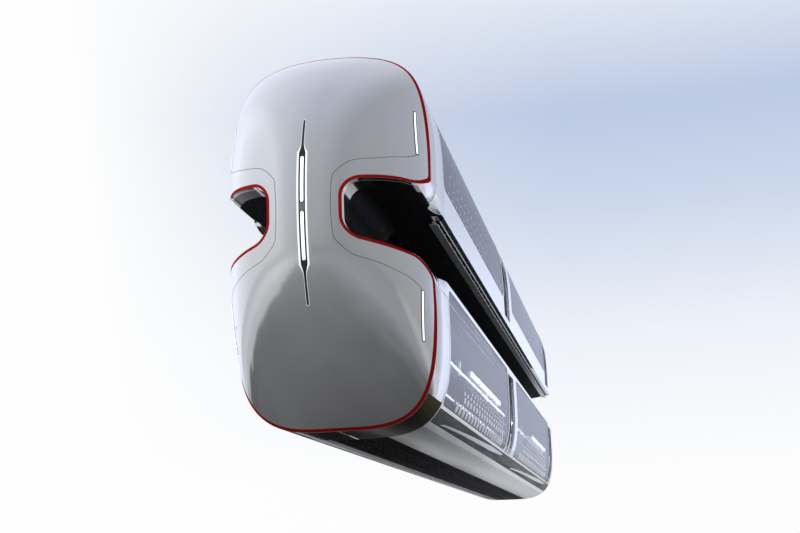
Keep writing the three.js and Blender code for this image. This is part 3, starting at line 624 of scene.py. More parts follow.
def band(loop, surface, profile, closed_profile=True, closed_loop=True):
    """A strip that follows a loop on a surface. profile holds (outwards, height) corners."""
    loop = np.asarray(loop, float)
    profile = np.asarray(profile, float)
    out = edge_normals(loop)
    before = np.roll(out, 1, 0)
    if not closed_loop:
        out[-1] = out[-2]
        before[0] = out[0]
    sideways = mitred(before, out)
    count, around = len(loop), len(profile)
    rings, frames = [], []
    for outwards, height in profile:
        points, normal, a_way, b_way = surface(loop + sideways * outwards)
        rings.append(points + normal * height)
        frames.append((normal, a_way, b_way))
    points = np.stack(rings, 1).reshape(-1, 3)
    spans = around if closed_profile else around - 1
    steps = count if closed_loop else count - 1
    spin = np.sign(loop_area(profile)) if closed_profile else 1.0
    lean = edge_normals(profile) * (spin or 1.0)
    corners, normals = [], []
    i = np.arange(steps)
    j = (i + 1) % count
    gentle = np.sum(out * before, 1, keepdims=True) > SMOOTH_ALONG
    eased = np.where(gentle, unit(out + before), out)
    start_out, end_out = eased[i], np.where(gentle[j], eased[j], out[i])
    for k in range(spans):
        m = (k + 1) % around
        back, here, onward = lean[k - 1], lean[k], lean[m]
        eased_in = np.dot(here, back) > SMOOTH_ROUND and (closed_profile or k > 0)
        eased_out = np.dot(here, onward) > SMOOTH_ROUND and (closed_profile or m < spans)
        first = unit(here + back) if eased_in else here
        last = unit(here + onward) if eased_out else here
        quad = np.stack([i * around + k, j * around + k, j * around + m, i * around + m], 1)
        shading = []
        for index, outs, tilt, ring in ((i, start_out, first, k), (j, end_out, first, k),
                                        (j, end_out, last, m), (i, start_out, last, m)):
            normal, a_way, b_way = (f[index] for f in frames[ring])
            level = unit(a_way * outs[:, :1] + b_way * outs[:, 1:])
            shading.append(unit(level * tilt[0] + normal * tilt[1]))
        corners.append(quad)
        normals.append(np.stack(shading, 1))
    corners = np.concatenate(corners)
    normals = np.concatenate(normals)
    flip = facing_away(points, corners, normals)
    corners[flip] = corners[flip][:, ::-1]
    normals[flip] = normals[flip][:, ::-1]
    strip = Shape(points, corners, np.full(len(corners), 4), normals)
    if closed_loop or not closed_profile:
        return strip
    caps = []
    for row, sign in ((0, -1), (count - 1, 1)):
        ring = np.arange(around) + row * around
        way = unit(points[min(row + 1, count - 1) * around] - points[max(row - 1, 0) * around]) * sign
        face = points[ring]
        if np.dot(np.sum(np.cross(face, np.roll(face, -1, 0)), 0), way) < 0:
            face = face[::-1]
        caps.append(Shape(face, np.arange(around), [around], np.tile(way, (around, 1))))
    return merged([strip] + caps)


def facing_away(points, quads, normals):
    a, b, c, d = (points[quads[:, k]] for k in range(4))
    return np.sum(np.cross(c - a, d - b) * normals.sum(1), 1) < 0


def sheet(loops, surface, thickness, levels_a=(), levels_b=(), rounding=0.0, lift=0.0):
    """A panel on a surface: the first loop is its outline and the others are its holes.

    Its front face lies at the height lift and its back a thickness below that. The face is cut at the
    given levels so that it can follow the surface, and its rim is rounded over by a small radius.
    """
    turned_loops = [turned(loops[0])] + [turned(hole, False) for hole in loops[1:]]
    bm = bmesh.new()
    for loop in turned_loops:
        shrunk = offset(loop, -rounding) if rounding else loop
        verts = [bm.verts.new((a, b, 0)) for a, b in shrunk]
        for first, second in zip(verts, verts[1:] + verts[:1]):
            bm.edges.new((first, second))
    bmesh.ops.triangle_fill(bm, use_beauty=True, edges=bm.edges[:])
    cuts = [((level, 0, 0), (1, 0, 0)) for level in levels_a]
    cuts += [((0, level, 0), (0, 1, 0)) for level in levels_b]
    for place, way in cuts:
        everything = bm.verts[:] + bm.edges[:] + bm.faces[:]
        bmesh.ops.bisect_plane(bm, geom=everything, plane_co=place, plane_no=way, dist=1e-7)
    bm.normal_update()
    for face in bm.faces:
        if face.normal.z < 0:
            face.normal_flip()
    bm.verts.index_update()
    flat = np.array([(v.co.x, v.co.y) for v in bm.verts])
    corners = np.array([v.index for f in bm.faces for v in f.verts])
    sizes = np.array([len(f.verts) for f in bm.faces])
    follow = {}
    for edge in bm.edges:
        if len(edge.link_faces) == 1:
            for corner in edge.link_faces[0].loops:
                if corner.edge == edge:
                    follow[corner.vert.index] = corner.link_loop_next.vert.index
    bm.free()
    points, normal, a_way, b_way = surface(flat)
    upright = np.dot(np.cross(a_way[0], b_way[0]), normal[0]) > 0
    front = Shape(points + normal * lift, corners, sizes, normal[corners])
    back = Shape(points + normal * (lift - thickness), corners, sizes, normal[corners])
    front = front if upright else front.reversed()
    back = back.reversed() if upright else back
    back.normals = -back.normals
    arc = [math.radians(90 * k / 3) for k in range(4)] if rounding else [math.radians(90)]
    profile = [(rounding * math.sin(t), lift - rounding * (1 - math.cos(t))) for t in arc]
    profile += [(rounding, lift - thickness), (0.0, lift - thickness)]
    side = profile if rounding else profile[:-1]
    parts = [front, back]
    while follow:
        start = next(iter(follow))
        ring = [start]
        while follow.get(ring[-1]) is not None:
            ring.append(follow.pop(ring[-1]))
            if ring[-1] == start:
                ring.pop()
                break
        parts.append(band(flat[ring], surface, side, closed_profile=False))
    return merged(parts)


def slab(low, high, soften=0.003):
    """A box with rounded edges."""
    bm = bmesh.new()
    bmesh.ops.create_cube(bm, size=1.0)
    low, high = Vector(low), Vector(high)
    for v in bm.verts:
        v.co = Vector(low[i] + (v.co[i] + 0.5) * (high[i] - low[i]) for i in range(3))
    bmesh.ops.bevel(bm, geom=bm.edges[:], offset=soften, segments=2, affect="EDGES", profile=0.5)
    return from_bmesh(bm)


def drum(centre, way, radius, length, sides=24, soften=0.0):
    """A round piece whose foot stands on centre, with a softened top edge."""
    bm = bmesh.new()
    bmesh.ops.create_cone(bm, cap_ends=True, segments=sides, radius1=radius, radius2=radius, depth=length)
    for v in bm.verts:
        v.co.z += length / 2
    if soften:
        rim = [e for e in bm.edges if all(abs(v.co.z - length) < 1e-9 for v in e.verts)]
        bmesh.ops.bevel(bm, geom=rim, offset=soften, segments=3, affect="EDGES", profile=0.5)
    turn = Vector((0, 0, 1)).rotation_difference(Vector(way)).to_matrix().to_4x4()
    bm.transform(Matrix.Translation(centre) @ turn)
    return from_bmesh(bm)


def bar(start, end, radius, sides=12):
    start, end = Vector(start), Vector(end)
    return drum(start, (end - start).normalized(), radius, (end - start).length, sides)


def bolt_head(centre, way, radius=0.009, height=0.006):
    """A hexagon head on a washer."""
    washer = drum(centre, way, radius * 1.5, height * 0.25, 16)
    head = drum(centre, way, radius, height, 6, height * 0.15)
    return merged([washer, head])


# Nose

OUTLINE_POINTS = 561
OUTLINE_EASING = 4
OUTLINE_HALVINGS = 30
# Rows of points along each arc of the notch, the straight between them, the pod's side and its underside
NOTCH_ARC_ROWS, NOTCH_ROWS, POD_SIDE_ROWS, POD_UNDER_ROWS = 40, 20, 60, 80


def hourglass():
    """The right half of the car's outline, bottom to top, in half-widths, evenly spaced."""
    inner = WAIST_HALF + NOTCH_INNER_RADIUS
    outer = 1 - NOTCH_OUTER_RADIUS
    foot = NOTCH_AT_AXIS + NOTCH_SLOPE * WAIST_HALF - NOTCH_INNER_RADIUS
    turn = np.linspace(0, math.pi / 2, NOTCH_ARC_ROWS)
    x = WAIST_HALF + NOTCH_INNER_RADIUS * (1 - np.cos(turn))
    inner_arc = np.stack([x, foot + NOTCH_INNER_RADIUS * np.sin(turn) + NOTCH_SLOPE * (x - WAIST_HALF)], 1)
    x = np.linspace(inner, outer, NOTCH_ROWS)
    straight = np.stack([x, NOTCH_AT_AXIS + NOTCH_SLOPE * x], 1)
    stretch = NOTCH_OUTER_STRETCH * NOTCH_OUTER_RADIUS
    outer_arc = np.stack([outer + NOTCH_OUTER_RADIUS * np.sin(turn),
                          NOTCH_AT_AXIS + NOTCH_SLOPE * outer + stretch * (1 - np.cos(turn))], 1)
    corner = 0.5 ** (1 / POD_POWER)
    w = np.linspace(0, corner, POD_SIDE_ROWS)
    side = np.stack([pod_arc(w), POD_CENTRE + POD_REACH * w], 1)
    x = np.linspace(corner, 0, POD_UNDER_ROWS)
    under = np.stack([x, POD_CENTRE + POD_REACH * pod_arc(x)], 1)
    quarter = np.concatenate([[[WAIST_HALF, 0.0]], inner_arc, straight[1:], outer_arc[1:], side, under[1:]])
    half = np.concatenate([quarter[1:][::-1] * [1, -1], quarter])
    length = run_lengths(half)
    even = np.linspace(0, length[-1], OUTLINE_POINTS)
    half = np.stack([np.interp(even, length, half[:, k]) for k in (0, 1)], 1)
    for _ in range(OUTLINE_EASING):
        half[1:-1] = 0.25 * half[:-2] + 0.5 * half[1:-1] + 0.25 * half[2:]
    return half


HALF_OUTLINE = hourglass()


def outline_normals(half):
    way = np.gradient(half, axis=0)
    normal = unit(np.stack([way[:, 1], -way[:, 0]], 1))
    normal[0] = (0, -1)
    normal[-1] = (0, 1)
    return normal


HALF_NORMALS = outline_normals(HALF_OUTLINE)


def inset_outline(distance):
    """The outline moved in by a distance over the nose's surface, as a whole loop in metres."""
    x, z = HALF_OUTLINE.T
    nx, nz = HALF_NORMALS.T
    low, high = np.zeros(len(x)), np.full(len(x), max(distance, 0) / HALF_WIDTH)
    rim = bow(x, z)
    for _ in range(OUTLINE_HALVINGS):
        middle = (low + high) / 2
        rise = bow(x - nx * middle, z - nz * middle) - rim
        short = np.hypot(middle, rise * STEEP_SHARE) * HALF_WIDTH < distance
        low = np.where(short, middle, low)
        high = np.where(short, high, middle)
    half = np.stack([np.maximum(x - nx * low, 0), z - nz * low], 1) * HALF_WIDTH
    return mirrored_half(half)


def rim_strip(profile):
    """A closed strip along the nose's rim. profile holds (inset over the surface, depth) corners."""
    rings = []
    for inset, depth in profile:
        points, normal, _, _ = nose(inset_outline(inset))
        rings.append(points - normal * depth)
    return closed_loft(rings)


def closed_loft(rings, smooth_angle=50.0):
    """The closed tube whose cross-section corners are the given loops, shaded by its own angles."""
    grid = np.stack(rings, 1)
    count, around = grid.shape[:2]
    i, k = (g.ravel() for g in np.meshgrid(np.arange(count), np.arange(around), indexing="ij"))
    j, m = (i + 1) % count, (k + 1) % around
    quads = np.stack([i * around + k, j * around + k, j * around + m, i * around + m], 1)
    points = grid.reshape(-1, 3)
    a, b, c, d = (points[quads[:, q]] for q in range(4))
    face = unit(np.cross(c - a, d - b)).reshape(count, around, 3)
    centre = grid.mean(1, keepdims=True)
    mid = points[quads].mean(1).reshape(count, around, 3)
    if np.sum(face * (mid - centre)) < 0:
        face = -face
        quads = quads[:, ::-1]
    limit = math.cos(math.radians(smooth_angle))

    def eased(along, step):
        other = np.roll(face, step, 1)
        close = np.sum(face * other, 2, keepdims=True) > limit
        both = np.where(close, unit(face + other), face)
        return unit(both + np.roll(both, along, 0)).reshape(-1, 3)

    shading = np.stack([eased(1, 1), eased(-1, 1), eased(-1, -1), eased(1, -1)], 1)
    if quads[0][0] != 0:
        shading = shading[:, ::-1]
    return Shape(points, quads, np.full(len(quads), 4), shading)


def open_loft(stations, smooth_angle=40.0):
    """The capped solid through a row of closed rings."""
    bm = bmesh.new()
    rings = [[bm.verts.new(p) for p in ring] for ring in stations]
    for first, second in zip(rings, rings[1:]):
        for k in range(len(first)):
            m = (k + 1) % len(first)
            bm.faces.new((first[k], first[m], second[m], second[k]))
    bm.faces.new(rings[0])
    bm.faces.new(rings[-1][::-1])
    bmesh.ops.recalc_face_normals(bm, faces=bm.faces[:])
    return from_bmesh(bm, smooth_angle)


MASK_RIM = 0.0458
MASK_THICK = 0.06
TRIM_DEPTH = 0.02
TRIM_SHOULDER = 0.005
TRIM_IN = 0.0005
MASK_STEP = 0.04
MASK_DEGREES = 2.0


def build_nose_mask():
    across = [math.sin(math.radians(a)) * HALF_WIDTH for a in np.arange(-88, 88.1, MASK_DEGREES)]
    heights = np.arange(-3.04, 3.05, MASK_STEP)
    shell = sheet([inset_outline(MASK_RIM)], nose, MASK_THICK, across, heights, rounding=0.002)
    piece("nose_mask_shell", shell, "pearl", replaces=["nose_mask"])


def build_edge_trim():
    arc = [math.radians(90 * k / 4) for k in range(5)]
    near = [(TRIM_SHOULDER * (1 - math.sin(t)) + TRIM_IN, TRIM_SHOULDER * (1 - math.cos(t))) for t in arc]
    far = [(TRIM_WIDTH - inset, depth) for inset, depth in near][::-1]
    profile = [(near[-1][0], TRIM_DEPTH)] + near[::-1] + far[::-1] + [(far[0][0], TRIM_DEPTH)]
    piece("edge_trim_bead", rim_strip(profile), "red", replaces=["edge_trim"])


COLLAR_SUNK = 0.0005
COLLAR_EDGE = 0.002
# How much room the mask's inner face gets before the flange
MASK_ROOM = 0.025


def build_nose_collar():
    """The polished tube behind the red rim, closed at the front by the flange that carries the trim."""
    normals = mirrored_half(HALF_NORMALS)
    outline = mirrored_half(HALF_OUTLINE) * HALF_WIDTH - normals * COLLAR_SUNK
    inner = outline - normals * WALL
    near_edge = outline - normals * COLLAR_EDGE
    points, facing, _, _ = nose(outline)
    front = points[:, 1] - facing[:, 1] * (TRIM_DEPTH + FIT)
    points, facing, _, _ = nose(inner)
    inner_front = np.maximum(front, points[:, 1] - (MASK_THICK + MASK_ROOM) / facing[:, 1])
    rings = [np.stack([shape[:, 0], np.broadcast_to(y, len(shape)), shape[:, 1]], 1) for shape, y in (
        (outline, front + COLLAR_EDGE), (outline, BODY_START - COLLAR_EDGE), (near_edge, BODY_START),
        (inner, BODY_START), (inner, inner_front), (near_edge, front))]
    piece("nose_collar_skin", closed_loft(rings), "polished", replaces=["nose_collar"])


OUTLINE_S = run_lengths(HALF_OUTLINE) * HALF_WIDTH


def neck(ab):
    """The collar's own surface: a runs along the hourglass outline and b along the car."""
    return swept(ab, OUTLINE_S, HALF_OUTLINE * HALF_WIDTH, HALF_NORMALS, 1)


SHADE_SHEET_REACH = 0.93
SHADE_SHEET_HEIGHT = 0.45
SHADE_SHEET_FROM_RIM = 0.5
LIP_FROM_RIM = 0.14
SHADE_SHEET_THICK = 0.003
SHADE_SHEET_STEP = 0.02
UNDER_SHADE_FROM = -0.45
UNDER_SHADE_RIM = 0.03
UNDER_SHADE_STEP = 0.03
NECK_END = BODY_START - 0.002


def neck_line(picked, behind):
    """Along a picked stretch of the outline: the way round it, and a line so far behind the rim."""
    x, z = HALF_OUTLINE[picked].T
    return OUTLINE_S[picked], NOSE_Y + bow(x, z) * HALF_WIDTH + behind


def neck_loop(s, front):
    """A loop on the neck, from a front line back to the body."""
    return np.concatenate([np.stack([s, front], 1), [(s[-1], NECK_END), (s[0], NECK_END)]])


def build_neck_shade_sheets():
    """A black sheet in each notch, painted shade, with a grey lip before it that paints a dimmer reflection,
    and the polished collar left bare in front of both.
    """
    s, front = neck_line((np.abs(HALF_OUTLINE[:, 1]) < SHADE_SHEET_HEIGHT) & (HALF_OUTLINE[:, 0] < SHADE_SHEET_REACH),
                         SHADE_SHEET_FROM_RIM)
    levels = np.arange(s[0] + SHADE_SHEET_STEP, s[-1], SHADE_SHEET_STEP)
    shade_sheet = sheet([neck_loop(s, front)], neck, SHADE_SHEET_THICK, levels, lift=SHADE_SHEET_THICK + CLEAR)
    near = np.stack([s, front - SHADE_SHEET_FROM_RIM + LIP_FROM_RIM], 1)
    far = np.stack([s, front - 0.002], 1)
    lip_loop = np.concatenate([near, far[::-1]])
    lip = sheet([lip_loop], neck, SHADE_SHEET_THICK / 2, levels, lift=SHADE_SHEET_THICK / 2 + CLEAR)
    # Painted shade: the black sheet darkens the notch, and the grey lip dims the collar's reflection
    on_both_sides("neck_shade_sheet", shade_sheet, "black")
    on_both_sides("neck_shaded_lip", lip, "skirt")


def build_collar_underside_shade():
    """A near-black, mirror-bright plate over the collar's underside, flush with the collar's edges: painted
    shade for the dark ground it reflects.
    """
    s, front = neck_line((HALF_OUTLINE[:, 1] < 0) & (HALF_NORMALS[:, 1] < UNDER_SHADE_FROM)
                         & (HALF_OUTLINE[:, 0] > 0.003), UNDER_SHADE_RIM)
    levels = np.arange(s[0] + SHADE_SHEET_STEP, s[-1], UNDER_SHADE_STEP)
    plate = sheet([neck_loop(s, front)], neck, SHADE_SHEET_THICK / 2, levels, lift=CLEAR - COLLAR_SUNK)
    # Painted shade: a dark mirror sheet over the underside of the collar
    on_both_sides("collar_underside_shade", plate, "smoked")


CORNER_REACH = 0.95
CORNER_STEPS = 14
CORNER_ROWS = 25


def build_collar_corners():
    """The collar's rounded corners at the groove swell back into the square corners of the side walls."""
    outer, stretch = 1 - NOTCH_OUTER_RADIUS, NOTCH_OUTER_STRETCH * NOTCH_OUTER_RADIUS
    foot = NOTCH_AT_AXIS + NOTCH_SLOPE * outer
    heart = np.array((outer, foot + stretch))
    turn = np.linspace(0.0, math.pi / 2, CORNER_ROWS)
    arc = heart + np.stack([NOTCH_OUTER_RADIUS * np.sin(turn), -stretch * np.cos(turn)], 1)
    along = np.linspace(0, 2, CORNER_ROWS)
    knee = np.stack([np.interp(along, (0, 1, 2), (outer, 1.0, 1.0)),
                     np.interp(along, (0, 1, 2), (foot, POD_EDGE / HALF_WIDTH, foot + stretch))], 1)
    stations = []
    for start, end, way in zip(arc, knee, unit(arc - heart)):
        outside, inside = [], []
        for share in np.linspace(0, 1, CORNER_STEPS):
            swell = share * share * (3 - 2 * share)
            y = BODY_START - 0.0005 - CORNER_REACH * (1 - share)
            x, z = (start + (end - start) * swell + way * CLEAR * (1 - share)) * HALF_WIDTH
            outside.append((min(x, HALF_WIDTH), y, -z))
            x, z = (start - way * 0.002) * HALF_WIDTH
            inside.append((x, y, -z))
        stations.append(outside + inside[::-1])
    corner = open_loft(stations)
    for deck in DECKS:
        on_both_sides("collar_corner", corner, "polished", deck)


SEAM_ROUTE = ((0.255, 0.0), (0.257, 0.09), (0.261, 0.171), (0.275, 0.29), (0.332, 0.365), (0.386, 0.412),
              (0.45, 0.45), (0.638, 0.50), (0.743, 0.54), (0.809, 0.565), (0.869, 0.597), (0.915, 0.64),
              (0.93, 0.664))
SEAM_PROFILE = ((-0.004, 0.0), (-0.003, 0.0012), (0.003, 0.0012), (0.004, 0.0), (0.0, -0.003))


def eased_route(points, count):
    """A smooth row of points through a few chosen ones."""
    points = np.asarray(points, float)
    ends = np.concatenate([[2 * points[0] - points[1]], points, [2 * points[-1] - points[-2]]])
    rows = []
    for p0, p1, p2, p3 in zip(ends, ends[1:], ends[2:], ends[3:]):
        for t in np.linspace(0, 1, count, endpoint=False):
            rows.append(0.5 * (2 * p1 + (p2 - p0) * t + (2 * p0 - 5 * p1 + 4 * p2 - p3) * t ** 2
                               + (3 * p1 - p0 - 3 * p2 + p3) * t ** 3))
    return np.array(rows + [points[-1]])


def build_nose_seams():
    """The joint line round each notch, which runs from one corner lamp to the other."""
    upper = np.array(SEAM_ROUTE) * HALF_WIDTH
    route = eased_route(np.concatenate([upper[:0:-1] * [1, -1], upper]), 8)
    on_both_sides("nose_seam", band(route, nose, SEAM_PROFILE, closed_loop=False), "seam")


SENSOR_PLACE = (0.855, -0.926)


def build_nose_sensors():
    """A small round sensor on each cheek of the lower half."""
    points, normal, _, _ = nose(np.array([SENSOR_PLACE]) * HALF_WIDTH)
    for part, height, radius, length in (("ring", -0.002, 0.021, 0.005), ("eye", 0.002, 0.013, 0.0045)):
        stud = drum(points[0] + normal[0] * height, normal[0], radius, length, 32, 0.002)
        on_both_sides(f"nose_sensor_{part}", stud, "bezel")


BAR_END = 1.416
BAR_WIDE_END = 0.85
BAR_HALF = 0.078
BAR_TAIL_HALF = 0.022
BAR_RIM = 0.028
BAR_TAIL_RIM = 0.004
BAR_EASING = 3.2
BAR_ROWS = 260
BAR_STEP = 0.08
BAR_TIP = 0.12
# The rim's section: share of its width inwards, and height
BAR_SECTION = ((0.0, -0.004), (0.0, 0.005), (0.08, 0.008), (0.25, 0.0095), (0.75, 0.0095), (0.92, 0.008),
               (1.0, 0.005), (1.0, -0.002))
LAMP_FROM = 0.069
LAMP_TO = 0.782
LAMP_HALF = 0.024
LAMP_LEVELS = (-0.02, 0.0, 0.02)
SPACER_HALF = 0.04
SPACER_GAP = 0.012


def bar_share(z):
    """1 along the wide middle of the light bar, easing to 0 along its two tails."""
    beyond = np.maximum(0, np.abs(z) - BAR_WIDE_END) / (BAR_END - BAR_WIDE_END)
    return np.maximum(0, 1 - BAR_EASING * beyond) ** 2


def bar_outline(shrink):
    """The light bar's loop, moved in by the rim's own width times shrink."""
    z = np.linspace(-BAR_END, BAR_END, BAR_ROWS)
    share = bar_share(z)
    half = BAR_TAIL_HALF + (BAR_HALF - BAR_TAIL_HALF) * share
    rim = BAR_TAIL_RIM + (BAR_RIM - BAR_TAIL_RIM) * share
    from_tip = np.maximum(0, np.abs(z) - (BAR_END - BAR_TAIL_HALF)) / BAR_TAIL_HALF
    tip = np.sqrt(np.maximum(0, 1 - from_tip ** 2))
    half = np.maximum(half * np.maximum(tip, BAR_TIP) - rim * shrink, 0.001)
    right = np.stack([half, z * (1 - shrink * BAR_TAIL_RIM / BAR_END)], 1)
    return np.concatenate([right, right[::-1] * [-1, 1]])


def build_light_bar():
    """A long slim lamp on the nose: white rim, dark channel and two lit lenses with round ends."""
    rings = []
    for shrink, height in BAR_SECTION:
        points, normal, _, _ = nose(bar_outline(shrink))
        rings.append(points + normal * height)
    piece("light_bar_bezel", closed_loft(rings), "lit_rim", replaces=["light_bar"])
    levels = np.arange(-1.36, 1.37, BAR_STEP)
    channel = sheet([bar_outline(0.99)], nose, 0.006, [0.0], levels, lift=0.002)
    piece("light_bar_channel", channel, "channel")
    loop = rounded(-LAMP_HALF, LAMP_HALF, -LAMP_TO, -LAMP_FROM, LAMP_HALF, 12)
    lens = sheet([loop], nose, 0.008, LAMP_LEVELS, np.arange(-0.78, -0.07, 0.06), rounding=0.004, lift=0.007)
    for deck in DECKS:
        piece(f"light_bar_lens_{deck}", lens.on("right", deck), "lens")
    reach = LAMP_FROM - SPACER_GAP
    loop = rounded(-SPACER_HALF, SPACER_HALF, -reach, reach, 0.008, 4)
    spacer = sheet([loop], nose, 0.004, LAMP_LEVELS, [0.0], rounding=0.001, lift=0.004)
    piece("light_bar_spacer", spacer, "spacer")


# The heart line of the corner lamp, over (x, z)
CORNER_LAMP = ((1.496, -1.085), (1.458, -1.82))
LAMP_LENS_HALF = 0.0075
LAMP_RING_HALF = 0.0165


def lamp_capsule(half, spare=0.0):
    """A loop with round ends along the corner lamp's heart line, longer by spare at each end."""
    centre = np.array(CORNER_LAMP)
    way = unit(centre[1] - centre[0])
    side = np.array([way[1], -way[0]])
    points = []
    for end, sign in ((centre[1], 1), (centre[0], -1)):
        heart = end - way * sign * (LAMP_LENS_HALF - spare)
        for t in np.radians(np.linspace(-90, 90, 13)):
            points.append(heart + half * (way * sign * math.cos(t) + side * sign * math.sin(t)))
    return turned(points)


def build_corner_lamps():
    levels = np.arange(-1.8, -1.1, 0.05)
    rim = lamp_capsule(LAMP_RING_HALF, LAMP_RING_HALF - LAMP_LENS_HALF)
    hole = lamp_capsule(LAMP_LENS_HALF + 0.0005)
    ring = sheet([rim, hole], nose, 0.010, (), levels, rounding=0.0015, lift=0.004)
    lens = sheet([lamp_capsule(LAMP_LENS_HALF)], nose, 0.012, (), levels, rounding=0.003, lift=0.009)
    for deck in DECKS:
        on_both_sides("corner_lamp_ring", ring, "channel", deck)
        on_both_sides("corner_lamp_lens", lens, "lens", deck, stands_for="corner_lamp")


# Sides: wall panels, glass, seals and doors

DOOR_LAP = 0.05
DOOR_FOOT = -2.59
DOOR_HEAD = -0.71
DOOR_RADIUS = 0.09
WINDOW_RADIUS = 0.17
GLASS_SINK = 0.004
GLASS = 0.024
WALL_FOOT_S = s_at_z(-HALF_WIDTH * (POD_CENTRE + POD_REACH * WALL_FOOT_W))
SEAM_S = s_at_x(SEAM_X)
SKIN_START = BODY_START + FIT
SKIN_STOP = BODY_END - FIT
SKIN_STEP = 0.04


def bay_places():
    """Where each bay's window and door lie along the car, read from the frame's panes and doors."""
    places = {}
    for bay in BAYS:
        low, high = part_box(f"pane_lower_right_{bay}")
        door_low, door_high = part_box(f"door_lower_right_{bay}")
        places[bay] = {"window": (low.y - FIT, high.y + FIT), "leaf": (door_low.y, door_high.y),
                       "door": (door_low.y + DOOR_LAP, door_high.y - DOOR_LAP)}
    return places


def window_heights(deck):
    """The foot and the head of a deck's windows, as on the lower deck."""
    heights = [abs(corner.z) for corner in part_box(f"pane_{deck}_right_front")]
    return -max(heights) - FIT, -min(heights) + FIT


PLACES = bay_places()
WINDOW_HEIGHTS = {deck: window_heights(deck) for deck in DECKS}


def skin_levels(s0, s1):
    """Where a panel is cut so that it follows the section's curve."""
    flat_until = s_at_z(-POD_CENTRE * HALF_WIDTH)
    return np.arange(max(s0, flat_until) + SKIN_STEP, s1, SKIN_STEP)


def wall_opening(places, heights, radius, steps, grow):
    """A round-cornered opening in the side wall, as a loop on the skin."""
    (y0, y1), (z0, z1) = places, heights
    return on_skin(rounded(y0 - grow, y1 + grow, z0 - grow, z1 + grow, radius + grow, steps))


def window_loop(deck, bay, grow=0.0):
    return wall_opening(PLACES[bay]["window"], WINDOW_HEIGHTS[deck], WINDOW_RADIUS, 12, grow)


def door_loop(bay, grow=0.0):
    return wall_opening(PLACES[bay]["door"], (DOOR_FOOT, DOOR_HEAD), DOOR_RADIUS, 8, grow)


def oblong(a0, a1, b0, b1):
    return np.array([(a0, b0), (a1, b0), (a1, b1), (a0, b1)])


def build_side_frames():
    for deck in DECKS:
        holes = [window_loop(deck, bay) for bay in BAYS] + [door_loop(bay) for bay in BAYS]
        outline = oblong(0.0, SEAM_S - 0.0015, SKIN_START, SKIN_STOP)
        wall = sheet([outline] + holes, skin, WALL, skin_levels(0, SEAM_S), rounding=0.003)
        on_both_sides("side_wall", wall, "body", deck, stands_for="side_frame")


SILL_TOP = -2.612
SILL_FOOT = -2.825
SILL_FROM_END = 0.05
SILL_LIFT = 0.0012
# Each window's blade, a painted highlight, rises towards the tail, swells for most of its length and tapers
# off
BLADE_FOOT = -2.80
BLADE_RISE = 0.14
BLADE_BEND = 0.62
BLADE_WIDE = 0.085
BLADE_SWELL = 0.75
BLADE_THICK = 0.003
# Where it starts in the window, and how far it runs past the window's end
BLADE_FROM = 0.9
BLADE_PAST = 0.1


def blade_outline(y0, y1):
    share = np.linspace(0, 1, 48)
    middle = BLADE_FOOT + BLADE_RISE * share ** BLADE_BEND
    width = BLADE_WIDE * (0.25 + 0.75 * np.minimum(share / BLADE_SWELL, 1))
    width = width * np.sqrt(np.minimum(1, (1.02 - share) / (1 - BLADE_SWELL)))
    width = width * np.minimum(1, (share + 0.02) / 0.05)
    y = y0 + (y1 - y0) * share
    upper, lower = ([(s_at_z(z), place) for z, place in zip(edge, y)]
                    for edge in (middle + width / 2, middle - width / 2))
    return turned(np.array(upper + lower[::-1]))


def build_sill_bands():
    """A dark band along the foot of each lower wall, with a bright blade, a painted highlight, laid on it
    under each window.
    """
    s0, s1 = s_at_z(SILL_TOP), s_at_z(SILL_FOOT)
    levels = skin_levels(s0, s1)
    loop = rounded(s0, s1, SKIN_START + SILL_FROM_END, SKIN_STOP - SILL_FROM_END, 0.05, 6)
    dark = sheet([loop], skin, 0.002, levels, rounding=0.0008, lift=SILL_LIFT)
    windows = [PLACES[bay]["window"] for bay in BAYS]
    outlines = [blade_outline(y0 + BLADE_FROM, y1 + BLADE_PAST) for y0, y1 in windows]
    blades = merged(sheet([outline], skin, BLADE_THICK, levels, rounding=0.001, lift=SILL_LIFT + BLADE_THICK)
                    for outline in outlines)
    on_both_sides("sill_band", dark, "sill")
    # The blades are painted highlights: white strips where the band's reflection glints
    on_both_sides("sill_highlight_blades", blades, "bezel")


# Profiles hold corners as (outwards, height)
WINDOW_SEAL = ((-0.0005, -0.0015), (-0.004, -0.001), (-0.013, -0.0015), (-0.016, -0.004), (-0.0065, -0.0045),
               (-0.0045, -0.03), (-0.0005, -0.03))


def build_windows():
    for deck in DECKS:
        for bay in BAYS:
            glass = sheet([window_loop(deck, bay, -0.006)], skin, GLASS, skin_levels(0, WALL_FOOT_S),
                          rounding=0.002, lift=-GLASS_SINK)
            on_both_sides("window_glass", glass, "glass", deck, bay, stands_for="pane")
            on_both_sides("window_seal", band(window_loop(deck, bay), skin, WINDOW_SEAL), "rubber", deck, bay)


LIGHT_BARS = {"front": (-7.9, -2.9), "rear": (5.5, 10.4)}
LIGHT_BAR_TOP = -1.64
LIGHT_BAR_HIGH = 0.1
POLE_GLINTS = {"front": (-9.4, -5.4, -3.55), "rear": (2.2, 7.4, 9.2)}
POLE_GLINT_TOP = -1.68
POLE_GLINT_HIGH = 0.26
POLE_GLINT_HALF = 0.016
LENS_THICK = 0.008
LENS_FACE = -GLASS_SINK - GLASS - 0.0005


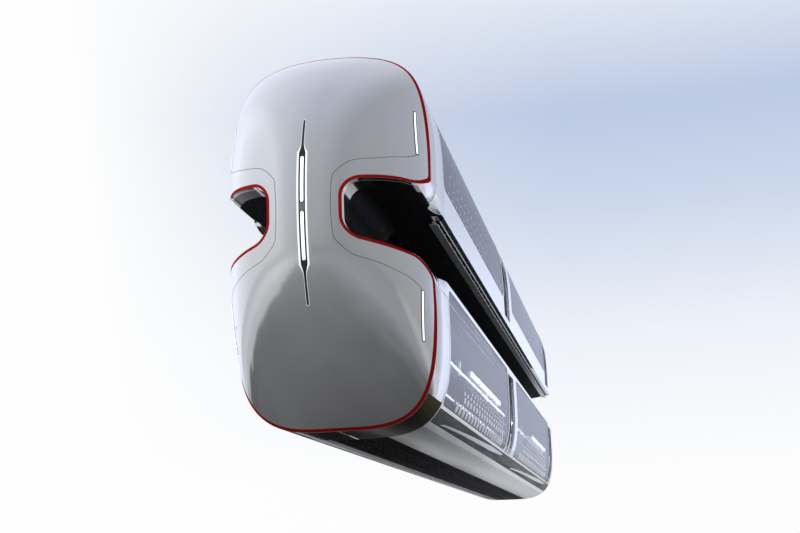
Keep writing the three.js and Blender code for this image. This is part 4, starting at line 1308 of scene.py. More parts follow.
def build_window_light_bars():
    """A long lamp with a dotted cover, bonded to the inside of each lower window, and short upright strips
    that glow though they are no lamps: painted highlights for glints on bars inside.
    """
    s0, s1 = s_at_z(POLE_GLINT_TOP), s_at_z(POLE_GLINT_TOP - POLE_GLINT_HIGH)
    for bay, places in POLE_GLINTS.items():
        loops = [rounded(s0, s1, y - POLE_GLINT_HALF, y + POLE_GLINT_HALF, POLE_GLINT_HALF * 0.9, 4) for y in places]
        marks = merged(sheet([loop], skin, LENS_THICK, skin_levels(s0, s1), rounding=0.002, lift=LENS_FACE)
                       for loop in loops)
        # Painted highlights: these strips glow for the glints on the upright bars behind the glass
        on_both_sides("window_pole_glints", marks, "display", bay=bay)
    s0, s1 = s_at_z(LIGHT_BAR_TOP), s_at_z(LIGHT_BAR_TOP - LIGHT_BAR_HIGH)
    levels = skin_levels(s0, s1)
    for bay, (y0, y1) in LIGHT_BARS.items():
        loop = rounded(s0, s1, y0, y1, 0.02, 6)
        lens = sheet([loop], skin, LENS_THICK, levels, rounding=0.002, lift=LENS_FACE)
        back = sheet([offset(loop, 0.006)], skin, 0.026, levels, rounding=0.004,
                     lift=LENS_FACE - LENS_THICK - 0.0005)
        on_both_sides("window_light_lens", lens, "display", bay=bay)
        on_both_sides("window_light_housing", back, "channel", bay=bay)


FRIT_THICK = 0.0004
FRIT_FLAT = 0.026
FRIT_HEIGHT = -GLASS_SINK + 0.0007
FRIT_PITCH = 0.42
# Rows from the foot up: middle height, half height, half length, and where they start and stop in the window
FRIT_ROWS = ((-2.455, 0.088, 0.140, 1.45, 0.65), (-2.265, 0.052, 0.125, 2.10, 0.75),
             (-2.155, 0.030, 0.105, 1.95, 0.85), (-2.065, 0.022, 0.085, 2.90, 0.95),
             (-1.990, 0.016, 0.068, 3.60, 1.05), (-1.925, 0.012, 0.052, 4.30, 1.15))
# Rows of dots along the head: height and where they start and stop
DOT_ROWS = ((-0.705, 2.6, 6.2), (-0.745, 3.0, 6.2), (-0.785, 3.4, 6.2))
DOT_PITCH = 0.34
DOT_HALVES = (0.009, 0.07)
# The upper windows: a field of dots at the tail end, and a run of dashes at three heights
FIELD_COLUMNS = 5
FIELD_APART = 0.12
FIELD_FROM_END = 0.35
FIELD_FOOT = 1.25
FIELD_HEAD = 2.35
FIELD_PITCH = 0.07
FIELD_HALF = 0.012
DASHES = 36
DASH_PITCH = 0.16
DASH_START = 0.6
DASH_HEIGHTS = (-1.2, -1.4, -1.6)
DASH_HALVES = (0.02, 0.05)


def frit_mark(s, y, half_s, half_y):
    """One printed mark: a rounded block when it is long and a dot when it is small."""
    return rounded(s - half_s, s + half_s, y - half_y, y + half_y, min(half_s, half_y) * 0.95, 2)


def printed(marks):
    """Thin marks on the outer face of the glass."""
    points, corners, sizes, normals = [], [], [], []
    for loop in marks:
        flat, normal, _, _ = skin(turned(loop))
        for height, sign in ((FRIT_HEIGHT, 1), (FRIT_HEIGHT - FRIT_THICK, -1)):
            points.append(flat + normal * height)
            corners.append((np.arange(len(flat)) + sum(sizes))[::sign])
            normals.append(normal[::sign] * sign)
            sizes.append(len(flat))
    return Shape(np.concatenate(points), np.concatenate(corners), sizes, np.concatenate(normals))


def lower_frit(y0, y1):
    """The print on a lower window: blocks at its foot that shrink upwards into dots, and dots at its head."""
    marks, blocks = [], []
    for z, half_z, half_y, start, stop in FRIT_ROWS:
        s0, s1 = s_at_z(z + half_z), s_at_z(z - half_z)
        row = [frit_mark((s0 + s1) / 2, y, (s1 - s0) / 2, half_y)
               for y in np.arange(y0 + start, y1 - stop, FRIT_PITCH)]
        if half_z < FRIT_FLAT:
            marks += row
        else:
            levels = np.arange(s0 + FRIT_FLAT, s1, FRIT_FLAT)
            blocks += [sheet([loop], skin, FRIT_THICK, levels, lift=FRIT_HEIGHT) for loop in row]
    for z, start, stop in DOT_ROWS:
        marks += [frit_mark(s_at_z(z), y, *DOT_HALVES) for y in np.arange(y0 + start, y0 + stop, DOT_PITCH)]
    return merged(blocks + [printed(marks)])


def upper_frit(y0, y1):
    marks = []
    for column in range(FIELD_COLUMNS):
        y = y1 - FIELD_FROM_END - FIELD_APART * column
        for z in np.arange(FIELD_FOOT + FIELD_PITCH * column, FIELD_HEAD, FIELD_PITCH):
            marks.append(frit_mark(s_at_z(-z), y, FIELD_HALF, FIELD_HALF))
    for k in range(DASHES):
        marks.append(frit_mark(s_at_z(DASH_HEIGHTS[k % 3]), y0 + DASH_START + DASH_PITCH * k, *DASH_HALVES))
    return printed(marks)


def build_frit():
    for bay in BAYS:
        on_both_sides("window_frit", lower_frit(*PLACES[bay]["window"]), "frit", "lower", bay)
        on_both_sides("window_frit", upper_frit(*PLACES[bay]["window"]), "frit", "upper", bay)


LEAF_OUTER = 0.092
LEAF_THICK = 0.04
LEAF_BORDER = 0.09
LEAF_FOOT = -2.604
LEAF_HEAD = -0.661
# Heights in these two count from the leaf's outer face
LEAF_SEAL = ((-0.0005, -0.001), (-0.012, -0.003), (-0.012, -0.0055), (-0.0035, -0.0055), (-0.0035, -0.03),
             (-0.0005, -0.03))
LEAF_PULL = ((0.004, -0.0002), (0.002, 0.004), (-0.004, 0.004), (-0.006, -0.0002))
PULL_FOOT = -1.75
PULL_HEAD = -1.45
PULL_HALF = 0.014
PULL_IN = 0.045
PAD_LONG = 0.16
PAD_IN = 0.15
PAD_ACROSS = (1.472, 1.504)
PAD_HEIGHTS = (-0.684, -0.6555)
# How far the glass stops short of the leaf's foot and of its head
GLASS_OVER_FOOT = 0.2
GLASS_UNDER_HEAD = 0.16
GLASS_RADIUS = 0.1
LEAF_GLASS = 0.014


def on_leaf(profile):
    return [(outwards, height - LEAF_OUTER) for outwards, height in profile]


def build_doors():
    """Each leaf: a pressed frame with a bonded window, edge rubbers, a recessed pull and running pads."""
    levels = skin_levels(0, WALL_FOOT_S)
    for bay in BAYS:
        y0, y1 = PLACES[bay]["leaf"]
        outline = turned([(s_at_z(z), y) for y, z in rounded(y0, y1, LEAF_FOOT, LEAF_HEAD, 0.02, 3)])
        border = DOOR_LAP + LEAF_BORDER
        hole = on_skin(rounded(y0 + border, y1 - border, LEAF_FOOT + GLASS_OVER_FOOT,
                               LEAF_HEAD - GLASS_UNDER_HEAD, GLASS_RADIUS))
        pull_y = y1 - DOOR_LAP - PULL_IN
        grip = rounded(s_at_z(PULL_FOOT), s_at_z(PULL_HEAD), pull_y - PULL_HALF, pull_y + PULL_HALF, 0.013, 6)
        (x0, x1), (z0, z1) = PAD_ACROSS, PAD_HEIGHTS
        pads = [slab((x0, y, z0), (x1, y + PAD_LONG, z1), 0.002)
                for y in (y0 + PAD_IN, y1 - PAD_IN - PAD_LONG)]
        parts = (
            ("door_frame", "body", sheet([outline, hole], skin, LEAF_THICK, levels, rounding=0.003,
                                         lift=-LEAF_OUTER)),
            ("door_glass", "glass", sheet([offset(hole, -0.004)], skin, LEAF_GLASS, levels, rounding=0.002,
                                          lift=-LEAF_OUTER - 0.006)),
            ("door_seal", "rubber", band(hole, skin, on_leaf(LEAF_SEAL))),
            ("door_pull", "pole", band(stepped(turned(grip)), skin, on_leaf(LEAF_PULL))),
            ("door_pads", "rubber", merged(pads)))
        for deck in DECKS:
            for stem, finish, shape in parts:
                stands_for = "door" if stem == "door_frame" else None
                on_both_sides(stem, shape, finish, deck, bay, body="door", stands_for=stands_for)


FLOOR_IN = FLOOR_TOP["lower"]
DOORWAY_LINING = ((-0.0005, -0.010), (-0.004, -0.012), (-0.004, -0.068), (-0.0005, -0.068))
DOORWAY_LIP = ((-0.0005, -0.0685), (-0.009, -0.0695), (-0.012, -0.074), (-0.009, -0.0785), (-0.0005, -0.0795))


def build_door_surrounds():
    """The painted lining of each doorway, its edge rubber and the steel threshold inside it."""
    linings = merged(band(door_loop(bay), skin, DOORWAY_LINING) for bay in BAYS)
    lips = merged(band(door_loop(bay), skin, DOORWAY_LIP) for bay in BAYS)
    doors = [PLACES[bay]["door"] for bay in BAYS]
    steps = merged(slab((1.1, y0 + 0.02, FLOOR_IN + 0.0005), (1.235, y1 - 0.02, FLOOR_IN + 0.006), 0.002)
                   for y0, y1 in doors)
    for deck in DECKS:
        on_both_sides("doorway_linings", linings, "body", deck)
        on_both_sides("doorway_lips", lips, "rubber", deck)
        on_both_sides("door_thresholds", steps, "pole", deck)


# Shell: skirts, roof sides and crown

SHELL_PANELS = 6
SHELL_JOINT = 0.0025
CROWN_STEP = 0.04


def panel_row(count, joint=0.0):
    """Where each of a row of equal panels starts and stops along the body."""
    breaks = np.linspace(SKIN_START, SKIN_STOP, count + 1)
    return [(y0 + joint, y1 - joint) for y0, y1 in zip(breaks, breaks[1:])]


def build_shell():
    edge_s = s_at_x(PAN_HALF + CROWN_GAP)
    levels = skin_levels(SEAM_S, edge_s)
    panels = merged(sheet([oblong(SEAM_S + 0.0008, edge_s, *span)], skin, WALL, levels, rounding=0.003)
                    for span in panel_row(SHELL_PANELS, SHELL_JOINT))
    # The skirts' darker finish is painted shade: a dimmer copy of the polished sheet
    on_both_sides("skirt_panels", panels, "skirt", stands_for="skirt")
    on_both_sides("roof_side_panels", panels.on("right", "upper"), "body", stands_for="roof_side")


def crown(ab):
    """The roof's middle, where a runs across the car and b along it."""
    side = np.sign(ab[:, 0]) + (ab[:, 0] == 0)
    points, normal, down, along = skin(np.stack([SKIN_END - np.abs(ab[:, 0]), ab[:, 1]], 1))
    turn = np.stack([side, np.ones_like(side), -np.ones_like(side)], 1)
    return points * turn, normal * turn, -down * turn * side[:, None], along


def crown_panels(reach, joint, thickness, step, **options):
    levels = np.arange(-reach + step, reach, step)
    return merged(sheet([oblong(-reach, reach, *span)], crown, thickness, levels, **options)
                  for span in panel_row(SHELL_PANELS, joint))


def build_roof_crown():
    panels = crown_panels(SKIN_END - s_at_x(PAN_HALF), SHELL_JOINT, WALL, CROWN_STEP, rounding=0.003)
    piece("roof_crown_panels", panels, "body", replaces=["roof_crown"])


PAN_COVERS = 10
COVER_X = 0.24
COVER_HALF = 0.2
COVER_GAP = 0.15
COVER_THICK = 0.0035
COVER_LIFT = 0.004
SCREW_IN = 0.035
SCREWS_ALONG = 7
SCREWS_FROM_END = 0.08
SCREWS_FROM_SIDE = 0.13
SCREW_RADIUS = 0.008
SCREW_HEIGHT = 0.0022


def build_pan_details():
    """Access covers under the belly, each held by countersunk screws along its rim."""
    covers, screws = [], []
    for y0, y1 in panel_row(PAN_COVERS, COVER_GAP):
        for x0, x1 in ((x - COVER_HALF, x + COVER_HALF) for x in (-COVER_X, COVER_X)):
            covers.append(sheet([rounded(x0, x1, y0, y1, 0.06, 6)], floor_plane(PAN_BOTTOM, -1), COVER_THICK,
                                rounding=0.0015, lift=COVER_LIFT))
            spots = [(x, y) for x in (x0 + SCREW_IN, x1 - SCREW_IN)
                     for y in np.linspace(y0 + SCREWS_FROM_END, y1 - SCREWS_FROM_END, SCREWS_ALONG)]
            spots += [(x, y) for x in (x0 + SCREWS_FROM_SIDE, x1 - SCREWS_FROM_SIDE)
                      for y in (y0 + SCREW_IN, y1 - SCREW_IN)]
            z = PAN_BOTTOM - COVER_LIFT - 0.0001
            screws += [drum((x, y, z), (0, 0, -1), SCREW_RADIUS, SCREW_HEIGHT, 12, 0.001) for x, y in spots]
    piece("pan_covers", merged(covers), "black")
    piece("pan_cover_screws", merged(screws), "rail")


# Groove: spine, plates and rails

RIB_TOP = 0.36
RIB_PITCH = 1.64
RIB_OUT = 0.06
RIB_HALF = 0.006
CONDUIT_CLIP = (0.105, 0.015, 0.024)
CONDUIT_HEIGHTS = (-0.2, -0.12, 0.18)
CONDUIT_OUT = 0.085
CONDUIT_RADIUS = 0.018


def build_groove_details():
    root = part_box("waist_spine")[1].x
    out, half, high = CONDUIT_CLIP
    ribs = [slab((root + FIT, y - RIB_HALF, -RIB_TOP), (root + RIB_OUT, y + RIB_HALF, RIB_TOP), 0.002)
            for y in np.arange(SKIN_START + 0.8, SKIN_STOP - 0.3, RIB_PITCH)]
    conduits, clips = [], []
    for z in CONDUIT_HEIGHTS:
        x = root + CONDUIT_OUT
        conduits.append(bar((x, SKIN_START + 0.02, z), (x, SKIN_STOP - 0.02, z), CONDUIT_RADIUS))
        for y in np.arange(SKIN_START + 0.4, SKIN_STOP - 0.3, RIB_PITCH):
            clips.append(slab((root + FIT, y - half, z - high), (root + out, y + half, z + high), 0.003))
    on_both_sides("waist_ribs", merged(ribs), "black")
    on_both_sides("waist_conduits", merged(conduits), "rubber")
    on_both_sides("waist_conduit_clips", merged(clips), "rail")


# White-painted bars under the upper pod's edge: painted highlights for the glints of its trim. Each row:
# place across and radius
GLINT_LINES = ((1.32, 0.012), (1.50, 0.014), (1.545, 0.010))
CLIP_PITCH = 0.66
CLIP_FROM, CLIP_TO = 0.0255, 0.062
CLIP_DOWN = 0.0185
CLIP_HALF = 0.006


def groove_height(x):
    """The underside of the upper pod, straight over a place in the groove."""
    return NOTCH_AT_AXIS * HALF_WIDTH + NOTCH_SLOPE * x


def build_rail_details():
    low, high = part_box("carrying_rail_right")
    middle = (low.x + high.x) / 2
    clips, bolts = [], []
    for y in np.arange(SKIN_START + 0.3, SKIN_STOP - 0.2, CLIP_PITCH):
        for s in (-1, 1):
            x0, x1 = sorted((middle + s * CLIP_FROM, middle + s * CLIP_TO))
            x = (x0 + x1) / 2
            z = groove_height(x) - CLIP_DOWN
            clips.append(slab((x0, y - 0.03, z - CLIP_HALF), (x1, y + 0.03, z + CLIP_HALF), 0.002))
            bolts.append(bolt_head((x, y, z - CLIP_HALF - 0.0001), (0, 0, -1), 0.009, 0.008))
    lines = []
    for x, radius in GLINT_LINES:
        z = groove_height(x) - radius
        lines.append(bar((x, SKIN_START + 0.1, z), (x, SKIN_STOP - 0.1, z), radius))
    # Painted highlights: white bars where the trim glints
    on_both_sides("rail_glint_lines", merged(lines), "bezel")
    on_both_sides("rail_clips", merged(clips), "rail")
    on_both_sides("rail_bolts", merged(bolts), "pole")


# Decks: floors, ceilings, benches and rails to hold

FLOOR_HALF = 1.235
FLOOR_COVER = 0.0002
CEILING_PANELS = 12
PANEL_THICK = 0.0114
PANEL_LIFT = 0.0118
LAMP_STRIP_HALF = 0.03
LAMP_STRIP_DOWN = 0.01
CEILING_COLUMNS = (-0.95, 0.0, 0.95)
CEILING_HALF = 0.44
CEILING_LAMPS = (-0.475, 0.475)
LINING_Z = -2.66
LINING_STEP = 0.08


def build_floors():
    outline = oblong(-FLOOR_HALF, FLOOR_HALF, SKIN_START + 0.01, SKIN_STOP - 0.005)
    for deck in DECKS:
        cover = sheet([outline], floor_plane(FLOOR_TOP[deck]), FLOOR_COVER, lift=CLEAR)
        piece(f"floor_covering_{deck}", cover, "flooring")


def build_ceilings():
    """Flat lining panels over the lower deck and a curved lining under the roof, each with lamp strips."""
    loops = [rounded(x - CEILING_HALF, x + CEILING_HALF, y0, y1, 0.02, 3)
             for y0, y1 in panel_row(CEILING_PANELS, 0.01) for x in CEILING_COLUMNS]
    under = floor_plane(CEILING_LOWER, -1)
    panels = merged(sheet([loop], under, PANEL_THICK, rounding=0.003, lift=PANEL_LIFT) for loop in loops)
    lamps = merged(slab((x - LAMP_STRIP_HALF, y0, CEILING_LOWER - LAMP_STRIP_DOWN),
                        (x + LAMP_STRIP_HALF, y1, CEILING_LOWER - CLEAR), 0.003)
                   for y0, y1 in panel_row(CEILING_PANELS, 0.05) for x in CEILING_LAMPS)
    lining = crown_panels(SKIN_END - s_at_z(LINING_Z), 0.004, 0.008, LINING_STEP, rounding=0.002,
                          lift=-WALL - 0.0006)
    piece("ceiling_panels_lower", panels, "lining")
    piece("ceiling_lamps_lower", lamps, "display")
    piece("roof_lining_upper", lining, "lining")


BENCH_PITCH = 0.5
SEAT_GAP = 0.03
SEAT_PROFILE = ((0.235, 0.335), (0.40, 0.335), (0.428, 0.35), (0.43, 0.385), (0.425, 0.42), (0.405, 0.439),
                (0.36, 0.44), (0.26, 0.428), (0.15, 0.424), (0.095, 0.436), (0.068, 0.47), (0.055, 0.56),
                (0.05, 0.70), (0.05, 0.84), (0.045, 0.92), (0.025, 0.955), (0.0, 0.96))
# How far along the seat each section lies, and how much of the raised edge it has
SEAT_ROWS = ((0.0, 0.0), (0.012, 1.0), (0.06, 0.6), (0.16, 0.1), (0.235, 0.0))
SEAT_HEART = (0, 0.62)
SEAT_RIM = 0.012
SEAT_HALF = 0.42
SEAT_FACE = 0.43


def seat_module():
    """Two moulded seats back to back, dished between raised edges."""
    half = np.array(SEAT_PROFILE)
    whole = np.concatenate([half, half[-2::-1] * [-1, 1]])
    width = BENCH_PITCH - SEAT_GAP
    stations = []
    for y, rise in SEAT_ROWS + tuple((width - y, rise) for y, rise in SEAT_ROWS[-2::-1]):
        ring = whole.copy()
        dish = np.clip((SEAT_HALF - np.abs(ring[:, 0])) / 0.1, 0, 1) * (np.abs(ring[:, 1] - SEAT_FACE) < 0.04)
        ring[:, 1] += dish * SEAT_RIM * rise
        if y in (0.0, width):
            ring = SEAT_HEART + (ring - SEAT_HEART) * 0.985
        stations.append(np.stack([ring[:, 0], np.full(len(ring), y), ring[:, 1]], 1))
    return open_loft(stations)


POLE_X = 0.4
POLE_INSET = 0.06
POLE_RADIUS = 0.019
HANDRAIL_RADIUS = 0.016
HANDRAIL_DOWN = 0.16
SEAT_TOP = 0.44
# Radius, height, sides and softening of the collars at the head and at the foot of a pole
POLE_HEAD = (0.04, 0.016, 24, 0.004)
POLE_FOOT = (0.036, 0.014, 24, 0.004)
# Half width, foot, head, inset from the bench's ends and softening of each block of the plinth
PLINTH = ((0.2, 0.0006, 0.09, 0.03, 0.004), (0.23, 0.09, 0.3345, 0.01, 0.012))
# Half width, foot, head and softening of each block of an end panel
BENCH_ENDS = ((0.43, 0.3, 0.46, 0.012), (0.055, 0.45, 0.958, 0.01))
BENCH_END_THICK = 0.03


def roof_inside(x):
    return HALF_WIDTH * (POD_CENTRE + POD_REACH * pod_arc(abs(x) / HALF_WIDTH)) - WALL


def build_benches():
    seat = seat_module()
    for deck in DECKS:
        top = CEILING_LOWER - 0.012 if deck == "lower" else roof_inside(POLE_X) - 0.02
        for bay in BAYS:
            build_bench(f"bench_{deck}_{bay}", seat, FLOOR_TOP[deck], top)


def build_bench(name, seat, floor, top):
    """A row of seats on its plinth, with end panels and with poles that reach the ceiling."""
    low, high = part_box(name)
    count = int((high.y - low.y - 0.2) / BENCH_PITCH)
    first = (low.y + high.y - count * BENCH_PITCH) / 2 + SEAT_GAP / 2
    seats = [seat.moved(0, first + BENCH_PITCH * k, floor) for k in range(count)]
    plinth = [slab((-x, low.y + inset, floor + foot), (x, high.y - inset, floor + head), soften)
              for x, foot, head, inset, soften in PLINTH]
    ends = [slab((-x, y, floor + foot), (x, y + BENCH_END_THICK, floor + head), soften)
            for x, foot, head, soften in BENCH_ENDS for y in (low.y, high.y - BENCH_END_THICK)]
    poles, collars = [], []
    y0, y1 = low.y + POLE_INSET, high.y - POLE_INSET
    spots = [(y, floor + 0.001) for y in (y0, y1)]
    spots += [(y, floor + SEAT_TOP) for y in np.linspace(y0, y1, 5)[1:-1]]
    for x, y, foot in ((x, y, foot) for y, foot in spots for x in (-POLE_X, POLE_X)):
        poles.append(bar((x, y, foot), (x, y, top), POLE_RADIUS, 20))
        collars.append(drum((x, y, top), (0, 0, -1), *POLE_HEAD))
        collars.append(drum((x, y, foot), (0, 0, 1), *POLE_FOOT))
    for x in (-POLE_X, POLE_X):
        poles.append(bar((x, y0, top - HANDRAIL_DOWN), (x, y1, top - HANDRAIL_DOWN), HANDRAIL_RADIUS, 16))
    piece(f"{name}_seats", merged(seats), "seat", replaces=[name])
    for part, shapes, finish in (("plinth", plinth, "lining"), ("ends", ends, "lining"),
                                 ("poles", poles, "pole"), ("pole_collars", collars, "pole")):
        piece(f"{name}_{part}", merged(shapes), finish)


# Tail: end frames, bellows and coupler

PORTAL_HALF = 0.6
PORTAL_FOOT = -2.59
PORTAL_HEAD = -0.76
PORTAL_RADIUS = 0.16
FOLDS = 6
FOLD_OUTER = (0.108, 0.075)
FOLD_INNER = (0.012, 0.04)
RING_THICK = 0.028


def portal_loop(grow=0.0):
    return rounded(-PORTAL_HALF - grow, PORTAL_HALF + grow, PORTAL_FOOT - grow, PORTAL_HEAD + grow,
                   PORTAL_RADIUS + grow, 8)


def pod_loop():
    """The whole outline of the lower pod, with its root on the spine."""
    pick = np.unique(np.concatenate([np.arange(0, len(SKIN_S), 4), [len(SKIN_S) - 1]]))
    root = (WAIST_HALF * HALF_WIDTH, -(NOTCH_AT_AXIS + NOTCH_SLOPE * WAIST_HALF) * HALF_WIDTH)
    half = np.concatenate([[root], SKIN[pick]])
    return turned(np.concatenate([half, half[-2::-1] * [-1, 1]]))


def build_tail():
    face = across_plane(TAIL_Y)
    reach = BELLOWS_END - TAIL_Y
    heights = [FIT + (reach - 0.03) * k / (2 * FOLDS) for k in range(2 * FOLDS + 1)]
    outer, inner = ([(folds[k % 2], height) for k, height in enumerate(heights)]
                    for folds in (FOLD_OUTER, FOLD_INNER))
    near, edge = reach - RING_THICK, reach - 0.003
    ring = [(0.002, near), (0.11, near), (0.11, edge), (0.107, reach), (0.005, reach), (0.002, edge)]
    parts = (("end_wall", sheet([pod_loop(), portal_loop()], face, TAIL_Y - BODY_END, rounding=0.004), "body",
              "end_frame"),
             ("gangway_folds", band(portal_loop(), face, outer + inner[::-1]), "rubber", "gangway_bellows"),
             ("gangway_ring", band(portal_loop(), face, ring), "rail", None),
             ("end_wall_bolts", merged(bolt_head((x, TAIL_Y + CLEAR, z), (0, 1, 0), 0.011, 0.009)
                                       for x, z in portal_loop(0.16)[::3]), "rail", None))
    for deck in DECKS:
        for stem, shape, finish, stands_for in parts:
            piece(f"{stem}_{deck}", shape.on("right", deck), finish,
                  replaces=[f"{stands_for}_{deck}"] if stands_for else ())


def build_coupler():
    low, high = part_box("coupler")
    end = high.y
    x, z = high.x, high.z
    head = [slab((-x * 0.75, low.y, -z * 0.8), (x * 0.75, end - 0.16, z * 0.8), 0.02),
            slab((-x, end - 0.17, -z), (x, end - 0.012, z), 0.02),
            slab((-x + 0.02, end - 0.02, -z + 0.02), (x - 0.02, end - 0.004, z - 0.02), 0.006)]
    face = [drum((0.12, end - 0.006, 0), (0, 1, 0), 0.07, 0.006, 40, 0.002),
            drum((-0.12, end - 0.006, 0), (0, 1, 0), 0.08, 0.005, 40, 0.002)]
    face += [bolt_head((sx * (x - 0.045), end - 0.0041, sz * (z - 0.045)), (0, 1, 0), 0.014, 0.004)
             for sx in (-1, 1) for sz in (-1, 1)]
    piece("coupler_head", merged(head), "rail", replaces=["coupler"])
    piece("coupler_face", merged(face), "pole")


# The frame's own solids that are seen as they are
KEPT = {
    "black": ("waist_spine", "lower_ceiling", "upper_floor", "belly_pan"),
    "rail": ("carrying_rail_left", "carrying_rail_right"),
    "lining": ("lower_floor", "nose_wall_lower", "nose_wall_upper"),
}


def dress_kept_nodes():
    for finish, nodes in KEPT.items():
        for node in nodes:
            solid = bpy.data.objects[node]
            solid.data.materials.clear()
            solid.data.materials.append(FINISHES[finish].material)


# Camera, light and floor

CAMERA_PLACE = (4.456, -30.88, -5.035)
CAMERA_YAW = math.radians(-10.236)
CAMERA_PITCH = math.radians(13.228)
CAMERA_ROLL = math.radians(-2.069)
CAMERA_LENS = 56.39


def add_camera():
    data = bpy.data.cameras.new("camera")
    data.lens = CAMERA_LENS
    data.sensor_width = 36.0
    data.clip_end = 2000
    camera = bpy.data.objects.new("camera", data)
    level = Vector((math.cos(CAMERA_YAW), -math.sin(CAMERA_YAW), 0))
    ahead = math.cos(CAMERA_PITCH)
    forward = Vector((math.sin(CAMERA_YAW) * ahead, math.cos(CAMERA_YAW) * ahead, math.sin(CAMERA_PITCH)))
    upright = level.cross(forward)
    right = level * math.cos(CAMERA_ROLL) + upright * math.sin(CAMERA_ROLL)
    up = upright * math.cos(CAMERA_ROLL) - level * math.sin(CAMERA_ROLL)
    turn = Matrix((right, up, -forward)).transposed().to_4x4()
    camera.matrix_world = Matrix.Translation(CAMERA_PLACE) @ turn
    bpy.context.scene.collection.objects.link(camera)
    bpy.context.scene.camera = camera


def add_lamp(name, place, aim, size, power, colour):
    """A large soft lamp that isn't seen in reflections."""
    data = bpy.data.lights.new(name, "AREA")
    data.shape = "RECTANGLE"
    data.size, data.size_y = size
    data.energy = power
    data.color = colour
    lamp = bpy.data.objects.new(name, data)
    lamp.rotation_mode = "QUATERNION"
    lamp.rotation_quaternion = (Vector(aim) - Vector(place)).to_track_quat("-Z", "Y")
    lamp.location = place
    lamp.visible_glossy = False
    lamp.visible_transmission = False
    bpy.context.scene.collection.objects.link(lamp)


# The sky that lights the car. Each row: height of the direction, from -1 straight down to 1 straight up
LIT_SKY = ((-1.0, (0.30, 0.30, 0.30)), (-0.02, (0.50, 0.505, 0.515)), (0.2, (0.53, 0.55, 0.59)),
           (0.45, (0.56, 0.58, 0.64)), (0.8, (0.61, 0.64, 0.71)), (0.98, (0.66, 0.71, 0.84)))
# Its gain over how far the direction points right, and over how far it points back along the car
LIT_SIDES = ((-1.0, 1.85), (-0.72, 1.85), (-0.56, 1.4), (-0.3, 1.16), (-0.1, 1.02), (0.13, 1.0), (0.5, 0.78),
             (1.0, 0.95))
LIT_BACK = ((0.0, (1.0, 1.0, 1.0)), (0.5, (1.14, 1.14, 1.16)), (0.75, (1.22, 1.25, 1.31)),
            (0.97, (1.66, 1.72, 1.98)))
# Straight behind the car the sky fades upwards, and to the left of that its foot is dark
LIT_FAR_FROM = ((0.78, 0.0), (0.9, 1.0))
LIT_FAR = ((-1.0, 1.0), (0.17, 1.0), (0.27, 0.70), (1.0, 0.70))
LIT_ROW_FROM = ((-0.62, 0.0), (-0.52, 1.0), (-0.2, 1.0), (-0.1, 0.0))
LIT_ROW = ((-1.0, 0.04), (0.07, 0.04), (0.11, 1.0))
# The plain sky that is seen, and how white it turns towards the left
SEEN_SKY = ((-1.0, (0.97, 0.97, 0.97)), (0.06, (0.98, 0.98, 0.98)), (0.17, (0.85, 0.885, 0.95)),
            (0.27, (0.60, 0.68, 0.83)), (0.34, (0.50, 0.585, 0.765)), (0.44, (0.80, 0.85, 0.93)),
            (1.0, (0.84, 0.88, 0.95)))
SEEN_WHITE = (0.99, 0.99, 0.99)
SEEN_WHITE_LEFT = ((-0.40, 1.0), (-0.28, 0.5), (-0.16, 0.15), (-0.04, 0.0))


class StageNodes:
    """Short words for the nodes of the sky and of the floor. split sets x, y and z to a vector's parts."""

    def __init__(self, tree):
        self.tree = tree

    def node(self, kind, sockets, **settings):
        return add_node(self.tree, kind, sockets, **settings)

    def split(self, source):
        self.x, self.y, self.z = self.node("ShaderNodeSeparateXYZ", {"Vector": source}).outputs

    def span(self, value, low, high):
        sockets = {"Value": value, "From Min": low, "From Max": high}
        return self.node("ShaderNodeMapRange", sockets).outputs["Result"]

    def ramp(self, value, rows, reach=1.0, tint=(1.0, 1.0, 1.0)):
        """Colours, or plain tones, along a value that runs from -reach to reach."""
        made = self.node("ShaderNodeValToRGB", {"Fac": self.span(value, -reach, reach)})
        while len(made.color_ramp.elements) < len(rows):
            made.color_ramp.elements.new(0.5)
        for stop, (place, colour) in zip(made.color_ramp.elements, rows):
            colour = colour if isinstance(colour, tuple) else [colour * share for share in tint]
            stop.position = (place + reach) / (2 * reach)
            stop.color = (*colour, 1.0)
        return made.outputs["Color"]

    def mixed(self, factor, a, b, kind="MIX"):
        a, b = ((*colour, 1.0) if isinstance(colour, tuple) else colour for colour in (a, b))
        sockets = {"Factor": factor, "A": a, "B": b}
        return self.node("ShaderNodeMix", sockets, data_type="RGBA", blend_type=kind).outputs["Result"]


